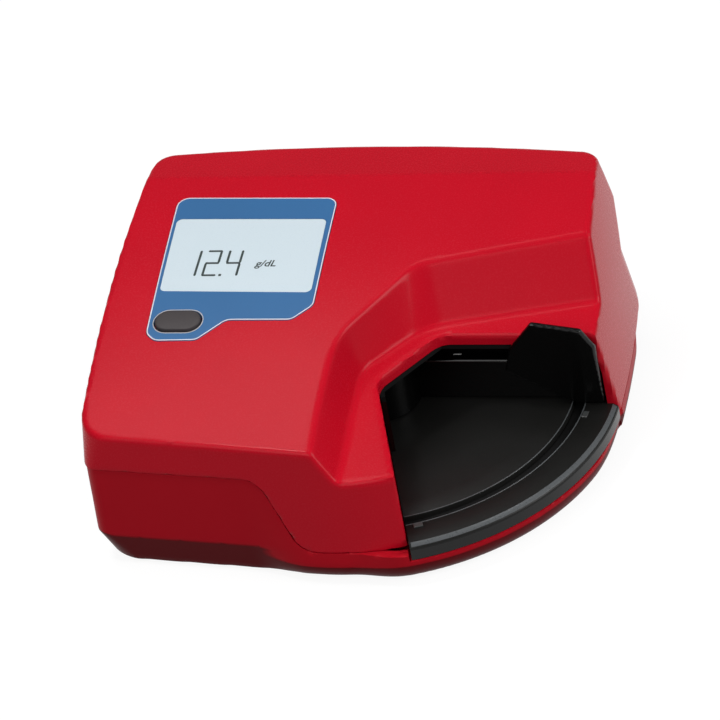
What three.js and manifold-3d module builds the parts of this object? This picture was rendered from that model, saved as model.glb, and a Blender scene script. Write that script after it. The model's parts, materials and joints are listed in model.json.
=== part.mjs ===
// Hemoglobin photometer: a red desk-top unit with a sloping display and a cuvette arm
// that swings out over a black quarter-round tray.
// Millimetres, +Z up. The origin lies on the table under the middle of the case, and the
// front of the unit faces -Y. The pieces are made round the arm's axis and moved at the end.
import * as THREE from 'three';
import { mergeVertices } from 'three/addons/utils/BufferGeometryUtils.js';
import Module from 'manifold-3d';

const wasm = await Module();
wasm.setup();

// Driving dimensions
const caseReach = 69.7;          // from the arm's axis to the right wall at the tray
const footHeight = 1.2;          // rubber feet under the base
const trayFloor = 13.5;          // upper face of the tray that the arm sweeps over
const lowParting = 10.5;         // joint of the two shells round the tray
const highParting = 32;          // joint of the two shells at the left and the back
const frontEdgeHeight = 42.5;    // where the sloping top meets the front wall
const wall = 2.2;                // moulded wall of both shells
const fit = 0.3;                 // gap between pieces that lie on or in each other
const overrun = 6;               // how far a cutter reaches past what it cuts
const farAway = 95;              // beyond the case on every side
const creaseRadius = 2;          // soft edge round the top
const weld = 0.0001;
const leastEdge = 0.02;          // shorter edges and lower triangles are closed up
const leastHeight = 0.003;

// Walls of the upper shell. A draft is a slope, so it has no unit.
const frontReach = 65.8;         // at the low parting
const frontDraft = 0.13;
const frontSkew = 4.7;           // degrees, the front wall turns back towards the left
const rightDraft = 0.11;
const shoulderHeight = 30;       // above this the right wall curves in
const shoulderRadius = 400;
const rightBowRadius = 470;      // the right wall is bowed in plan
const rightBowPlace = 3;
const leftReach = 73.9;          // at the high parting
const leftDraft = 0.05;
const leftBowRadius = 860;
const leftBowPlace = 36;
const backReach = 70.2;          // at the high parting
const backDraft = 0.32;
const backBowRadius = 460;
const backBowPlace = -14;
const frontCornerRadius = 3.5;   // at the high parting, and larger by a share of the height above
const frontCornerGrowth = 0.4;
const toeCornerGrowth = 0.7;     // and by this share of the depth below the toe's height
const backCornerRadius = 20;     // at the high parting, and smaller above
const backCornerGrowth = -1.2;
const backCornerLeast = 5;
const pillarRadius = 3;
const pillarLowFace = 1.8;       // front face of the right pillar at the low parting
const cornerBlendShare = 1.66;   // blend width that rounds a square corner by its radius

// Walls of the lower shell
const reveal = 0.4;              // the lower shell stands in by this much at the joint
const frontUnderDraft = -0.06;   // the front wall spreads a little towards the foot
const leftUnderDraft = -0.04;
const backUnderDraft = 0.4;
const toeHeight = lowParting;    // below this the left and back walls lean in further
const toeSlope = 0.16;
const underCornerRadius = 19;
const bandHeight = 7.5;          // the band round the tray is rounded in below this
const bandRounding = 4.8;
const sweepStart = -86;          // degrees, between these the band leaves the front wall's reach
const sweepEnd = -72;
const frontEnd = -60;            // degrees, the front wall is not followed past this
const rightStart = -12;          // degrees, the pillar's face is followed from here
const sideLimit = 100;           // degrees either way, the right wall ends inside these
const leftLimit = 80;            // and the left wall outside these
const bandStart = -111;          // degrees, the band swells out of the front wall from here
const bandFull = -96;            // degrees, and is full from here
const bandLast = 37;             // degrees, to here on the right wall
const bandEnd = 43;              // degrees

// Joint of the shells: high at the left and the back, low round the tray
const frontStepHigh = -18.5;
const frontStepLow = -8.5;
const sideStepLow = 52;
const sideStepHigh = 62;
const stepRadius = 4;

// Sloping top, a shallow arch from front to back
const archFront = -58;
const archBack = 50;
const frontSlope = 0.26;
const backSlope = 0.10;
const topBreak = 43;             // the arch ends here and the top falls to the back
const topFall = 0.09;

// Ledge over the tray, with the sloping wall behind it
const ledgeHeight = 32.5;        // at ledgeStart
const ledgeStart = -60;
const ledgeSlope = 0.135;
const ledgeHeadRise = 26;        // height over the foot at which the head's places hold
const ledgeFootPlaces = [[6, -farAway], [2.7, -20], [18.3, -2.9], [farAway, 13.4]];
const ledgeHeadPlaces = [[-18, -farAway], [-5.4, -22], [13.2, 12], [farAway, 34]];
const ledgeCornerRadius = 5;
const ledgeGrow = 1.15;          // a grown wall moves out by this share of the growth
const ledgeSteps = 4;            // facets round each corner of the sloping wall
const ledgeParts = 8;            // along each long stretch
const ledgeRows = 3;             // and up the wall

// Mouth over the tray, cut through the ledge
const mouthSide = 0.3315;        // the left side's slope in plan, millimetres in X for one in Y
const mouthOffset = 0.11;
const mouthFirst = -23.8;        // the left side ends here
const mouthSecond = 22.4;        // and the back edge starts here
const mouthBack = -5.6;
const mouthCornerRadius = 2.5;
const lipHeight = 3.5;

// Tray and chamber
const trayRadius = caseReach - fit;
const trayThickness = 2;
const skirtFoot = 8.7;
const skirtWall = 2.2;
const rimDrop = 1.1;
const rimWidth = 2.2;
const grooveInner = caseReach - 13.1;
const grooveOuter = caseReach - 9.9;
const grooveDepth = 1;
const grooveFirst = -75;         // degrees
const grooveLast = 13;           // degrees
const chamberLeft = -14.2;
const chamberBack = 20;
const chamberRight = caseReach - 5.1;
const chamberFront = -17;
const linerWall = 1.4;
const stopRadius = caseReach - 7.1;
const stopSize = [3, 1.2, 0.2];
const stopPlaces = [-7, -68];    // degrees

// Cuvette arm
const hubRadius = 12.4;
const hubBore = 4.3;
const armFront = 0.3;
const armBack = 18.2;
const armRadius = caseReach - 8.2;
const armTop = 26.5;
const armWall = 1.8;
const runningGap = 0.3;
const gripFront = -2.6;          // front of the grip's foot
const gripLean = 0.22;
const gripThickness = 1.6;
const gripPlaces = [[57.5, 13.8], [65.4, 13.8], [65.1, 36.5], [64.2, 38.2], [62.4, 45],
  [49.6, 46.4], [42, 36], [39.4, 27]];
const pegRadius = 1.2;
const pegAngle = 8;              // degrees
const pegReach = 0.7;

// Cuvette holder in the arm
const holderPlaces = { left: 17, right: 56, front: 4.6, back: 16.4 };
const pocketDepth = 5.9;
const holderDepth = 5.4;
const cuvetteFront = 6;
const cuvetteBack = 15;
const cuvetteLeft = 22;
const cuvetteFloor = 0.9;
const portX = 36;                // the light passes through the cuvette here
const portY = 10.5;
const portRadius = 2;

const rad = Math.PI / 180;
const product = new THREE.Group();

// Solids and booleans

function signedVolume(position, index) {
  const a = new THREE.Vector3();
  const b = new THREE.Vector3();
  const c = new THREE.Vector3();
  let sum = 0;
  for (let i = 0; i < index.length; i += 3) {
    a.fromArray(position, 3 * index[i]);
    b.fromArray(position, 3 * index[i + 1]);
    c.fromArray(position, 3 * index[i + 2]);
    sum += a.dot(b.cross(c));
  }
  return sum;
}

function solid(geometry) {
  const bare = geometry.clone();
  bare.deleteAttribute('normal');
  bare.deleteAttribute('uv');
  const merged = mergeVertices(bare, weld);
  const position = new Float32Array(merged.attributes.position.array);
  const all = merged.index.array;
  const kept = [];
  for (let i = 0; i < all.length; i += 3) {
    const [p, q, r] = [all[i], all[i + 1], all[i + 2]];
    if (p !== q && q !== r && r !== p) kept.push(p, q, r);
  }
  if (signedVolume(position, kept) < 0) kept.reverse();
  const triVerts = new Uint32Array(kept);
  return new wasm.Manifold(new wasm.Mesh({ numProp: 3, vertProperties: position, triVerts }));
}

// Closes up edges and triangles that are too small to be moulded
function withoutSlivers(position, index) {
  const at = (i) => new THREE.Vector3().fromArray(position, 3 * i);
  const faces = [];
  for (let i = 0; i < index.length; i += 3) faces.push([index[i], index[i + 1], index[i + 2]]);
  const facesAt = new Map();
  const link = (face) => faces[face].forEach((v) => {
    if (!facesAt.has(v)) facesAt.set(v, new Set());
    facesAt.get(v).add(face);
  });
  const unlink = (face) => faces[face].forEach((v) => facesAt.get(v).delete(face));
  faces.forEach((_, face) => link(face));
  const normalOf = ([a, b, c]) => at(b).sub(at(a)).cross(at(c).sub(at(a)));
  const edgesOf = ([a, b, c]) => [[a, b, c], [b, c, a], [c, a, b]];
  const longOf = (face) => edgesOf(face).map(([a, b, c]) => [at(a).distanceTo(at(b)), a, b, c])
    .sort((one, other) => one[0] - other[0]);
  const around = (v) => new Set([...facesAt.get(v)].flatMap((face) => faces[face]));
  const shared = (a, b) => [...facesAt.get(a)].filter((face) => facesAt.get(b).has(face));

  const collapse = (kept, gone) => {
    const common = [...around(kept)].filter((v) => v !== kept && v !== gone && around(gone).has(v));
    if (common.length !== 2) return;
    const doomed = shared(kept, gone);
    const moved = [...facesAt.get(gone)].filter((face) => !doomed.includes(face));
    const after = (face) => faces[face].map((v) => (v === gone ? kept : v));
    const turns = moved.some((face) => normalOf(faces[face]).dot(normalOf(after(face))) < 0
      && longOf(faces[face])[0][0] > leastEdge);
    if (turns) return;
    moved.forEach((face) => {
      const next = after(face);
      unlink(face);
      faces[face] = next;
      link(face);
    });
    doomed.forEach((face) => {
      unlink(face);
      faces[face] = null;
    });
  };

  // A sliver gives its long edge to the triangle beyond it
  const flip = (face) => {
    const [, p, q, r] = longOf(faces[face])[2];
    const beyond = shared(p, q).find((other) => other !== face);
    const s = faces[beyond].find((v) => v !== p && v !== q);
    if (shared(r, s).length) return;
    const pair = [[r, p, s], [s, q, r]];
    if (pair.some((next) => normalOf(next).dot(normalOf(faces[beyond])) <= 0)) return;
    [face, beyond].forEach((one, i) => {
      unlink(one);
      faces[one] = pair[i];
      link(one);
    });
  };

  for (let pass = 0; pass < 4; pass += 1) {
    for (let face = 0; face < faces.length; face += 1) {
      if (faces[face]) {
        const [short, , long] = longOf(faces[face]);
        const height = normalOf(faces[face]).length() / long[0];
        if (short[0] < leastEdge) collapse(short[1], short[2]);
        else if (height < leastHeight) flip(face);
      }
    }
  }
  return faces.filter((face) => face).flat();
}

function toGeometry(body) {
  const mesh = body.getMesh();
  const geometry = new THREE.BufferGeometry();
  geometry.setAttribute('position', new THREE.BufferAttribute(mesh.vertProperties, 3));
  geometry.setIndex(withoutSlivers(mesh.vertProperties, mesh.triVerts));
  geometry.computeVertexNormals();
  return geometry;
}

function joinAll(bodies) {
  return bodies.reduce((sum, body) => sum.add(body));
}

function cutAll(body, cutters) {
  return cutters.reduce((rest, cutter) => rest.subtract(cutter), body);
}

// Closed skin over rings of points, lowest ring first
function skin(rings) {
  const count = rings[0].length;
  const flat = rings[0].map((p) => new THREE.Vector2(p.x, p.y));
  const turned = THREE.ShapeUtils.area(flat) < 0;
  const ordered = turned ? rings.map((ring) => [...ring].reverse()) : rings;
  const position = ordered.flat().flatMap((p) => [p.x, p.y, p.z]);
  const index = [];
  for (let j = 0; j < ordered.length - 1; j += 1) {
    for (let i = 0; i < count; i += 1) {
      const a = j * count + i;
      const b = j * count + ((i + 1) % count);
      index.push(a, b, b + count, a, b + count, a + count);
    }
  }
  const last = (ordered.length - 1) * count;
  [[ordered[0], 0, true], [ordered[ordered.length - 1], last, false]].forEach(([ring, base, down]) => {
    const contour = ring.map((p) => new THREE.Vector2(p.x, p.y));
    THREE.ShapeUtils.triangulateShape(contour, []).forEach(([a, b, c]) => {
      if (down) index.push(base + a, base + c, base + b);
      else index.push(base + a, base + b, base + c);
    });
  });
  const geometry = new THREE.BufferGeometry();
  geometry.setAttribute('position', new THREE.Float32BufferAttribute(position, 3));
  geometry.setIndex(index);
  return solid(geometry);
}

// Path with its corners rounded off. An open path keeps its two ends.
function rounded(points, radius, closed = false, steps = 3) {
  const out = [];
  points.forEach(([x, y], i) => {
    const inner = closed || (i > 0 && i < points.length - 1);
    if (!inner) {
      out.push([x, y]);
      return;
    }
    const here = new THREE.Vector2(x, y);
    const before = new THREE.Vector2(...points[(i + points.length - 1) % points.length]);
    const after = new THREE.Vector2(...points[(i + 1) % points.length]);
    const toBefore = before.clone().sub(here);
    const toAfter = after.clone().sub(here);
    const half = Math.abs(toBefore.angleTo(toAfter)) / 2;
    const wanted = radius / Math.tan(half);
    const cut = Math.min(wanted, toBefore.length() / 2.1, toAfter.length() / 2.1);
    const start = here.clone().add(toBefore.setLength(cut));
    const end = here.clone().add(toAfter.setLength(cut));
    const curve = new THREE.QuadraticBezierCurve(start, here, end);
    curve.getPoints(steps).forEach((p) => out.push([p.x, p.y]));
  });
  return out;
}

// Open path moved to its left by a distance
function movedLeft(points, distance) {
  return points.map((point, i) => {
    const here = new THREE.Vector2(...point);
    const before = new THREE.Vector2(...points[Math.max(i - 1, 0)]);
    const after = new THREE.Vector2(...points[Math.min(i + 1, points.length - 1)]);
    const first = (i > 0 ? here.clone().sub(before) : after.clone().sub(here)).normalize();
    const second = (i < points.length - 1 ? after.clone().sub(here) : first.clone()).normalize();
    const normal = new THREE.Vector2(-first.y - second.y, first.x + second.x).normalize();
    const stretch = 1 / Math.max(normal.dot(new THREE.Vector2(-first.y, first.x)), 0.5);
    return [here.x + normal.x * distance * stretch, here.y + normal.y * distance * stretch];
  });
}

function extrude(points, depth) {
  const shape = new THREE.Shape(points.map(([x, y]) => new THREE.Vector2(x, y)));
  return new THREE.ExtrudeGeometry(shape, { depth, bevelEnabled: false });
}

// Outline in plan, from one height to another
function prism(points, low, high) {
  return solid(extrude(points, high - low).translate(0, 0, low));
}

// Outline of Y and Z, along X
function prismX(points, from, to) {
  const basis = new THREE.Matrix4().makeBasis(
    new THREE.Vector3(0, 1, 0), new THREE.Vector3(0, 0, 1), new THREE.Vector3(1, 0, 0));
  return solid(extrude(points, to - from).applyMatrix4(basis).translate(from, 0, 0));
}

// Outline of X and Z, along Y
function prismY(points, from, to) {
  const basis = new THREE.Matrix4().makeBasis(
    new THREE.Vector3(1, 0, 0), new THREE.Vector3(0, 0, 1), new THREE.Vector3(0, -1, 0));
  return solid(extrude(points, to - from).applyMatrix4(basis).translate(0, to, 0));
}

function block([x0, x1], [y0, y1], [z0, z1]) {
  const box = new THREE.BoxGeometry(x1 - x0, y1 - y0, z1 - z0);
  return solid(box.translate((x0 + x1) / 2, (y0 + y1) / 2, (z0 + z1) / 2));
}

function disc(radius, low, high, x = 0, y = 0, sides = 24) {
  const tube = new THREE.CylinderGeometry(radius, radius, high - low, sides).rotateX(90 * rad);
  return solid(tube.translate(x, y, (low + high) / 2));
}

// Round piece about the Z axis from a profile of radius and height
function turned(profile, x = 0, y = 0, sides = 24) {
  const points = profile.map(([r, z]) => new THREE.Vector2(r, z));
  return solid(new THREE.LatheGeometry(points, sides).rotateX(90 * rad).translate(x, y, 0));
}

function sector(inner, outer, first, last, low, high, steps = 40) {
  const out = [];
  for (let i = 0; i <= steps; i += 1) {
    const turn = (first + (last - first) * i / steps) * rad;
    out.push([outer * Math.cos(turn), outer * Math.sin(turn)]);
  }
  for (let i = steps; i >= 0; i -= 1) {
    const turn = (first + (last - first) * i / steps) * rad;
    out.push([inner * Math.cos(turn), inner * Math.sin(turn)]);
  }
  return prism(out, low, high);
}

// Finishes

const finishes = {
  redCase: { color: 0xc81428, roughness: 0.38, metalness: 0 },
  redBase: { color: 0xa81220, roughness: 0.45, metalness: 0 },
  blackPlastic: { color: 0x1c1c1d, roughness: 0.35, metalness: 0 },
  mattBlack: { color: 0x121213, roughness: 0.7, metalness: 0 },
  greyButton: { color: 0x4b4646, roughness: 0.55, metalness: 0 },
  blueFilm: { color: 0x4673a5, roughness: 0.4, metalness: 0 },
  clearPlastic: { color: 0xe8eef2, roughness: 0.1, metalness: 0 },
  displayGrey: { color: 0xd8e4ec, roughness: 0.3, metalness: 0 },
  whitePlastic: { color: 0xdedfdc, roughness: 0.5, metalness: 0 },
  board: { color: 0x1e6b3c, roughness: 0.5, metalness: 0 },
  steel: { color: 0xb8bcc0, roughness: 0.35, metalness: 1 },
  brass: { color: 0xc9a95a, roughness: 0.35, metalness: 1 },
  rubber: { color: 0x2a2a2a, roughness: 0.85, metalness: 0 },
  battery: { color: 0x3a3f45, roughness: 0.4, metalness: 0.2 },
};

function place(name, body, finish, parent = product) {
  const material = new THREE.MeshStandardMaterial({ ...finishes[finish], flatShading: true });
  const mesh = new THREE.Mesh(toGeometry(body), material);
  mesh.name = name;
  parent.add(mesh);
}

// Surfaces of the case

function topHeight(y) {
  const run = Math.min(y, topBreak) - archFront;
  const bend = (frontSlope - backSlope) / (2 * (archBack - archFront));
  const arch = frontEdgeHeight + frontSlope * run - bend * run * run;
  return arch - topFall * Math.max(y - topBreak, 0);
}

function topSlope(y) {
  return frontSlope - (frontSlope - backSlope) * (y - archFront) / (archBack - archFront);
}

function ledgeAt(y) {
  return ledgeHeight + ledgeSlope * (y - ledgeStart);
}

// Everything under the top, moved up or down by an offset
function underTop(offset) {
  const steps = 16;
  const out = [];
  for (let i = 0; i <= steps; i += 1) {
    const y = -farAway + (topBreak + farAway) * i / steps;
    out.push([y, topHeight(y) + offset]);
  }
  out.push([farAway, topHeight(farAway) + offset], [farAway, -2 * farAway], [-farAway, -2 * farAway]);
  return prismX(out, -farAway, farAway);
}

function softMin(a, b, width) {
  const near = Math.max(width - Math.abs(a - b), 0) / width;
  return Math.min(a, b) - near * near * width / 4;
}

function blend(from, to, value) {
  const t = Math.min(Math.max((value - from) / (to - from), 0), 1);
  return t * t * (3 - 2 * t);
}

function toLine(angle, facing, distance) {
  const along = Math.cos((angle - facing) * rad);
  return along > 0.01 ? distance / along : Infinity;
}

function toDisc(angle, x, y, radius) {
  const along = x * Math.cos(angle * rad) + y * Math.sin(angle * rad);
  return along + Math.sqrt(along * along - x * x - y * y + radius * radius);
}

function rightWallAt(z) {
  const rise = Math.max(z - shoulderHeight, 0);
  return caseReach - rightDraft * (z - lowParting) - rise * rise / (2 * shoulderRadius);
}

function toRight(angle, z, inset) {
  const centre = rightWallAt(z) - rightBowRadius;
  return toDisc(angle, centre, rightBowPlace, rightBowRadius - inset);
}

function toBack(angle, reach, inset) {
  return toDisc(angle, backBowPlace, reach - backBowRadius, backBowRadius - inset);
}

function toLeft(angle, reach) {
  if (Math.abs(angle) < leftLimit) return Infinity;
  return toDisc(angle, leftBowRadius - reach, leftBowPlace, leftBowRadius);
}

function limited(reach) {
  return Math.min(reach, 2 * farAway);
}

// Distance from the arm's axis to the upper shell's outline at an angle and height
function upperReach(angle, z, inset) {
  const front = frontReach - frontDraft * (z - lowParting) - inset;
  const skewed = -90 - frontSkew;
  const faceShare = Math.min((z - lowParting) / (ledgeAt(mouthBack) - lipHeight - lowParting), 1);
  const face = pillarLowFace + (-mouthBack - pillarLowFace) * Math.max(faceShare, 0);
  const left = leftReach - leftDraft * (z - highParting) - inset;
  const back = backReach - backDraft * (z - highParting);
  let reach = angle < skewed ? toLine(angle, skewed, front) : front;
  if (angle > frontEnd) reach = caseReach - inset;
  if (angle > rightStart) reach = limited(toLine(angle, -90, face - inset));
  const right = Math.abs(angle) < sideLimit ? toRight(angle, z, inset) : Infinity;
  const above = z - highParting;
  const frontCorner = frontCornerRadius + frontCornerGrowth * Math.max(above, 0);
  const backCorner = Math.max(backCornerRadius + backCornerGrowth * Math.max(above, 0),
    backCornerLeast);
  reach = softMin(limited(reach), limited(right), pillarRadius * cornerBlendShare);
  reach = softMin(reach, limited(toLeft(angle, left)), frontCorner * cornerBlendShare);
  return softMin(reach, toBack(angle, back, inset), backCorner * cornerBlendShare);
}

function lowerReach(angle, z, inset) {
  const under = Math.max(highParting - z, 0);
  const toe = toeSlope * Math.max(toeHeight - z, 0) + inset;
  const top = frontReach - frontDraft * (highParting - lowParting);
  const front = top - reveal - frontUnderDraft * under - toe;
  const skewed = -90 - frontSkew;
  const left = leftReach - reveal - leftUnderDraft * under - toe;
  const back = backReach - reveal - backUnderDraft * under;
  let recessed = angle < skewed ? toLine(angle, skewed, front) : front;
  recessed = limited(angle > frontEnd ? 2 * farAway : recessed);
  const corner = frontCornerRadius + toeCornerGrowth * Math.max(toeHeight - z, 0);
  recessed = softMin(recessed, limited(toLeft(angle, left)), corner * cornerBlendShare);
  const right = Math.abs(angle) < sideLimit ? limited(toRight(angle, z, toe)) : 2 * farAway;
  recessed = softMin(recessed, right, underCornerRadius * cornerBlendShare);
  recessed = softMin(recessed, toBack(angle, back, toe), underCornerRadius * cornerBlendShare);
  const low = Math.max(bandHeight - z, 0) / (bandHeight - footHeight);
  const rounding = bandRounding * (1 - Math.sqrt(1 - low * low)) + inset;
  const sweep = frontReach - frontDraft * (z - lowParting);
  let band = sweep + (caseReach - sweep) * blend(sweepStart, sweepEnd, angle) - rounding;
  if (angle < skewed) band = toLine(angle, skewed, sweep - rounding);
  if (angle > 0) band = 2 * farAway;
  const bandRight = Math.abs(angle) < sideLimit
    ? limited(toRight(angle, lowParting, rounding)) : 2 * farAway;
  band = softMin(limited(band), bandRight, pillarRadius);
  band = softMin(band, toBack(angle, back, toe), underCornerRadius * cornerBlendShare);
  const share = blend(bandStart, bandFull, angle) * (1 - blend(bandLast, bandEnd, angle));
  return recessed + (band - recessed) * share;
}

// Directions of the points of an outline, closer together at the corners
function directions(step, cornerStep) {
  const corners = [-140, -1.5, 44, 140];
  const out = [];
  for (let angle = -180; angle < 180; angle += step) out.push(angle);
  corners.forEach((corner) => {
    for (let turn = -7.5; turn <= 7.5; turn += cornerStep) out.push(corner + turn);
  });
  for (let angle = bandStart; angle < -90; angle += 2 * cornerStep) out.push(angle);
  const sorted = [...new Set(out)].sort((a, b) => a - b);
  return sorted.filter((angle, i) => i === 0 || angle - sorted[i - 1] > 0.3);
}

const fineDirections = directions(5, 1.5);
const plainDirections = directions(8, 3);

function ring(angles, reachAt, heightAt) {
  return angles.map((angle) => {
    let z = heightAt(0);
    let reach = reachAt(angle, z);
    for (let pass = 0; pass < 5; pass += 1) {
      z = heightAt(reach * Math.sin(angle * rad));
      reach = reachAt(angle, z);
    }
    return new THREE.Vector3(reach * Math.cos(angle * rad), reach * Math.sin(angle * rad), z);
  });
}

// The upper shell's outer form, or its inner one where an inset is given
function upperForm(inset) {
  const rings = [];
  const angles = inset > 0 ? plainDirections : fineDirections;
  const rows = inset > 0 ? 5 : 8;
  const edge = Math.max(creaseRadius - inset, creaseRadius / 2);
  for (let row = 0; row <= rows; row += 1) {
    const heightAt = (y) => lowParting + (topHeight(y) - inset - edge - lowParting) * row / rows;
    rings.push(ring(angles, (angle, z) => upperReach(angle, z, inset), heightAt));
  }
  (inset > 0 ? [45] : [30, 62]).forEach((turn) => {
    const drop = edge * (1 - Math.sin(turn * rad));
    const setIn = inset + edge * (1 - Math.cos(turn * rad));
    const heightAt = (y) => topHeight(y) - inset - drop;
    rings.push(ring(angles, (angle, z) => upperReach(angle, z, setIn), heightAt));
  });
  const setIn = inset + edge;
  rings.push(ring(angles, (angle, z) => upperReach(angle, z, setIn), (y) => topHeight(y) + overrun));
  return skin(rings).intersect(underTop(-inset));
}

function lowerForm(inset, low) {
  const heights = [low, low + (bandHeight - low) / 4, (low + bandHeight) / 2, bandHeight, toeHeight,
    lowParting + fit, (lowParting + highParting) / 2, highParting];
  const angles = inset > 0 ? plainDirections : fineDirections;
  return skin(heights.map((height) => ring(angles, (angle, z) => lowerReach(angle, z, inset),
    () => height)));
}

// What lies under the joint of the shells, with the joint raised by a gap
function underJoint(raise) {
  const low = lowParting + raise;
  const high = highParting + raise;
  const front = rounded([[-farAway, high], [frontStepHigh + raise, high],
    [frontStepLow + raise, low], [farAway, low]], stepRadius);
  const side = rounded([[-farAway, low], [sideStepLow - raise, low],
    [sideStepHigh - raise, high], [farAway, high]], stepRadius);
  const close = [[farAway, -overrun], [-farAway, -overrun]];
  return prismY([...front, ...close], -farAway, farAway)
    .add(prismX([...side, ...close], -farAway, farAway));
}

// Path with further points along its first and last stretch
function divided(points, parts) {
  const [first, second] = points;
  const [beforeLast, last] = points.slice(-2);
  const between = (from, to) => Array.from({ length: parts }, (_, i) => [
    from[0] + (to[0] - from[0]) * i / parts, from[1] + (to[1] - from[1]) * i / parts]);
  return [...between(first, second), ...points.slice(1, -2), ...between(beforeLast, last), last];
}

// Space over the ledge and in front of the sloping wall, which is ruled from foot to head
function overLedge(grow) {
  const path = (places) => divided(movedLeft(rounded(places, ledgeCornerRadius, false, ledgeSteps),
    grow * ledgeGrow), ledgeParts);
  const foot = path(ledgeFootPlaces);
  const head = path(ledgeHeadPlaces);
  const end = [farAway, -farAway];
  const rings = [];
  for (let row = 0; row <= ledgeRows; row += 1) {
    const share = row / ledgeRows;
    const middle = foot.map(([x, y], i) => new THREE.Vector3(x + (head[i][0] - x) * share,
      y + (head[i][1] - y) * share, ledgeAt(y) - grow + (ledgeHeadRise + grow) * share));
    rings.push([...middle, new THREE.Vector3(...end, ledgeAt(end[1]) - grow
      + (ledgeHeadRise + grow) * share)]);
  }
  return skin(rings);
}

function mouthPath(grow) {
  const sideX = (y) => mouthOffset - mouthSide * y;
  const path = rounded([[sideX(-farAway), -farAway], [sideX(mouthFirst), mouthFirst],
    [mouthSecond, mouthBack], [farAway, mouthBack]], mouthCornerRadius);
  return [...movedLeft(path, grow), [farAway, -farAway]];
}

function mouthSpace(grow) {
  return prism(mouthPath(grow), -overrun, frontEdgeHeight + overrun);
}

// Outline of the chamber in plan, with a side gap to the mouth's left side
function chamberPath(grow, sideGap) {
  const sideX = (y) => mouthOffset - mouthSide * y + sideGap;
  return [[sideX(-farAway), -farAway], [sideX(chamberFront - grow), chamberFront - grow],
    [chamberLeft - grow, chamberFront - grow], [chamberLeft - grow, chamberBack + grow],
    [chamberRight + grow, chamberBack + grow], [chamberRight + grow, -farAway]];
}

// Chamber under the ledge, its ceiling a lip's height under the ledge's surface
function chamberSpace(grow, floor, sideGap = 0) {
  const drop = lipHeight + linerWall + fit - grow;
  const ceiling = ledgeAt(mouthBack) - drop;
  const profile = [[-farAway, ledgeAt(-farAway) - drop], [mouthBack, ceiling],
    [chamberBack + overrun, ceiling], [chamberBack + overrun, floor], [-farAway, floor]];
  return prism(chamberPath(grow, sideGap), floor, frontEdgeHeight)
    .intersect(prismX(profile, -farAway, farAway));
}

// Battery bay, open at the bottom, with two cells beside each other in two layers
const cellRadius = 7.25;
const cellLength = 50.5;
const cellPitch = 15.3;
const cellGap = 0.4;
const tipRadius = 2.7;
const tipLength = 1;
const bay = { left: -64.4, right: -10.4, front: -51.5, back: -20.2, ceiling: 34.6 };
const bayWall = 1.6;
const doorTop = 3.2;
const doorRim = 0.8;               // the door reaches this far under the walls of the bay
const doorGrip = { place: 8, pitch: 3, width: 1.2, depth: 0.6 };
const contactHalf = 5;
const contactMargin = 3;         // over the door and under the bay's ceiling
const contactThickness = 0.5;

// Mounting points. Every screw stands in a boss of its own.
const screwPlaces = [[-58, 50], [50, 46], [2.5, -50]];
const screwRadius = 1.4;
const screwHeadRadius = 2.6;
const screwHeadHeight = 1.8;
const bossRadius = 3.4;
const bossBore = 1.7;
const screwSink = 1.2;
const footPlaces = [[-46, 46], [38, 44], [-57, -10], [30, -46]];
const footRadius = 5;
const footSink = 0.8;

// Display stack, in a frame that lies along the sloping top
const panelPlaces = [[-60.2, 32], [-57.5, 34], [-14.5, 33], [-11.5, 30], [-10.4, -10.2],
  [-15.7, -15.6], [-34.4, -15.6], [-41.7, -23], [-53.8, -23.2], [-56.8, -20.6]];
const panelCornerRadius = 2.5;
const panelDepth = 0.9;
const panelProud = 0.05;
const filmThickness = 0.5;
const windowPlaces = [[-58.2, 24.8], [-13.4, 24.1], [-12.1, -5.3], [-56.6, -4.5]];
const windowCornerRadius = 2.5;
const windowLedge = 1.2;
const stack = { x: -35.2, y: 5 };
const displaySize = [48, 32.6, 2.6];
const displayDrop = 3.5;         // top of the glass under the case's outer surface
const carrierBorder = 2.2;
const carrierDepth = 6;
const boardThickness = 1.6;
const boardReach = { left: -27.4, right: 26.6, front: -23.6, back: 36 };
const buttonPlace = [-13.2, -21.4];
const buttonLength = 13.2;
const buttonWidth = 7.4;
const buttonProud = 0.5;
const buttonFlange = 1;
const buttonTravel = 0.5;
const switchSize = [6, 6, 3.4];

// Optics over and under the light port
const opticSize = [12, 9, 6];
const ledRadius = 1.5;
const lensRadius = 1.9;
const opticBore = 2.2;
const detectorBoard = { left: 24, right: 50, front: -2, back: 18, under: 6.2 };
const detectorSize = [6, 5, 1.8];

// Pivot of the arm
const postRadius = 4;
const postTop = 22;
const postBore = 1.5;
const postFoot = 8;
const counterbore = 8;
const washerRadius = 7;
const washerThickness = 0.8;
const pivotShank = 1.2;
const pivotHead = 3.4;
const pivotHeadHeight = 2;
const pivotDepth = 8;

// Power inlet and buzzer
const inlet = { x: -30, z: 20, face: 50.4, width: 9, height: 11, depth: 13, bore: 3.2, pin: 1 };
const inletRecess = 7;
const buzzerPlace = [20, 44];
const buzzerRadius = 6;
const buzzerHeight = 5;

// Pieces of the case


function stadium(length, width, x, y) {
  const radius = width / 2;
  const half = length / 2 - radius;
  const shape = new THREE.Shape();
  shape.absarc(x + half, y, radius, -90 * rad, 90 * rad, false);
  shape.absarc(x - half, y, radius, 90 * rad, 270 * rad, false);
  return shape.getPoints(8).map((p) => [p.x, p.y]);
}

function grown(points, distance) {
  const middle = points.reduce((sum, [x, y]) => [sum[0] + x, sum[1] + y], [0, 0])
    .map((value) => value / points.length);
  const cyclic = [points[points.length - 1], ...points, points[0]];
  const counter = THREE.ShapeUtils.area(points.map(([x, y]) => new THREE.Vector2(x, y))) > 0;
  const moved = movedLeft(cyclic, counter ? -distance : distance);
  return middle.length ? moved.slice(1, -1) : [];
}

function bossTube(x, y, low, high, radius = bossRadius) {
  return disc(radius, low, high, x, y);
}

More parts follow.
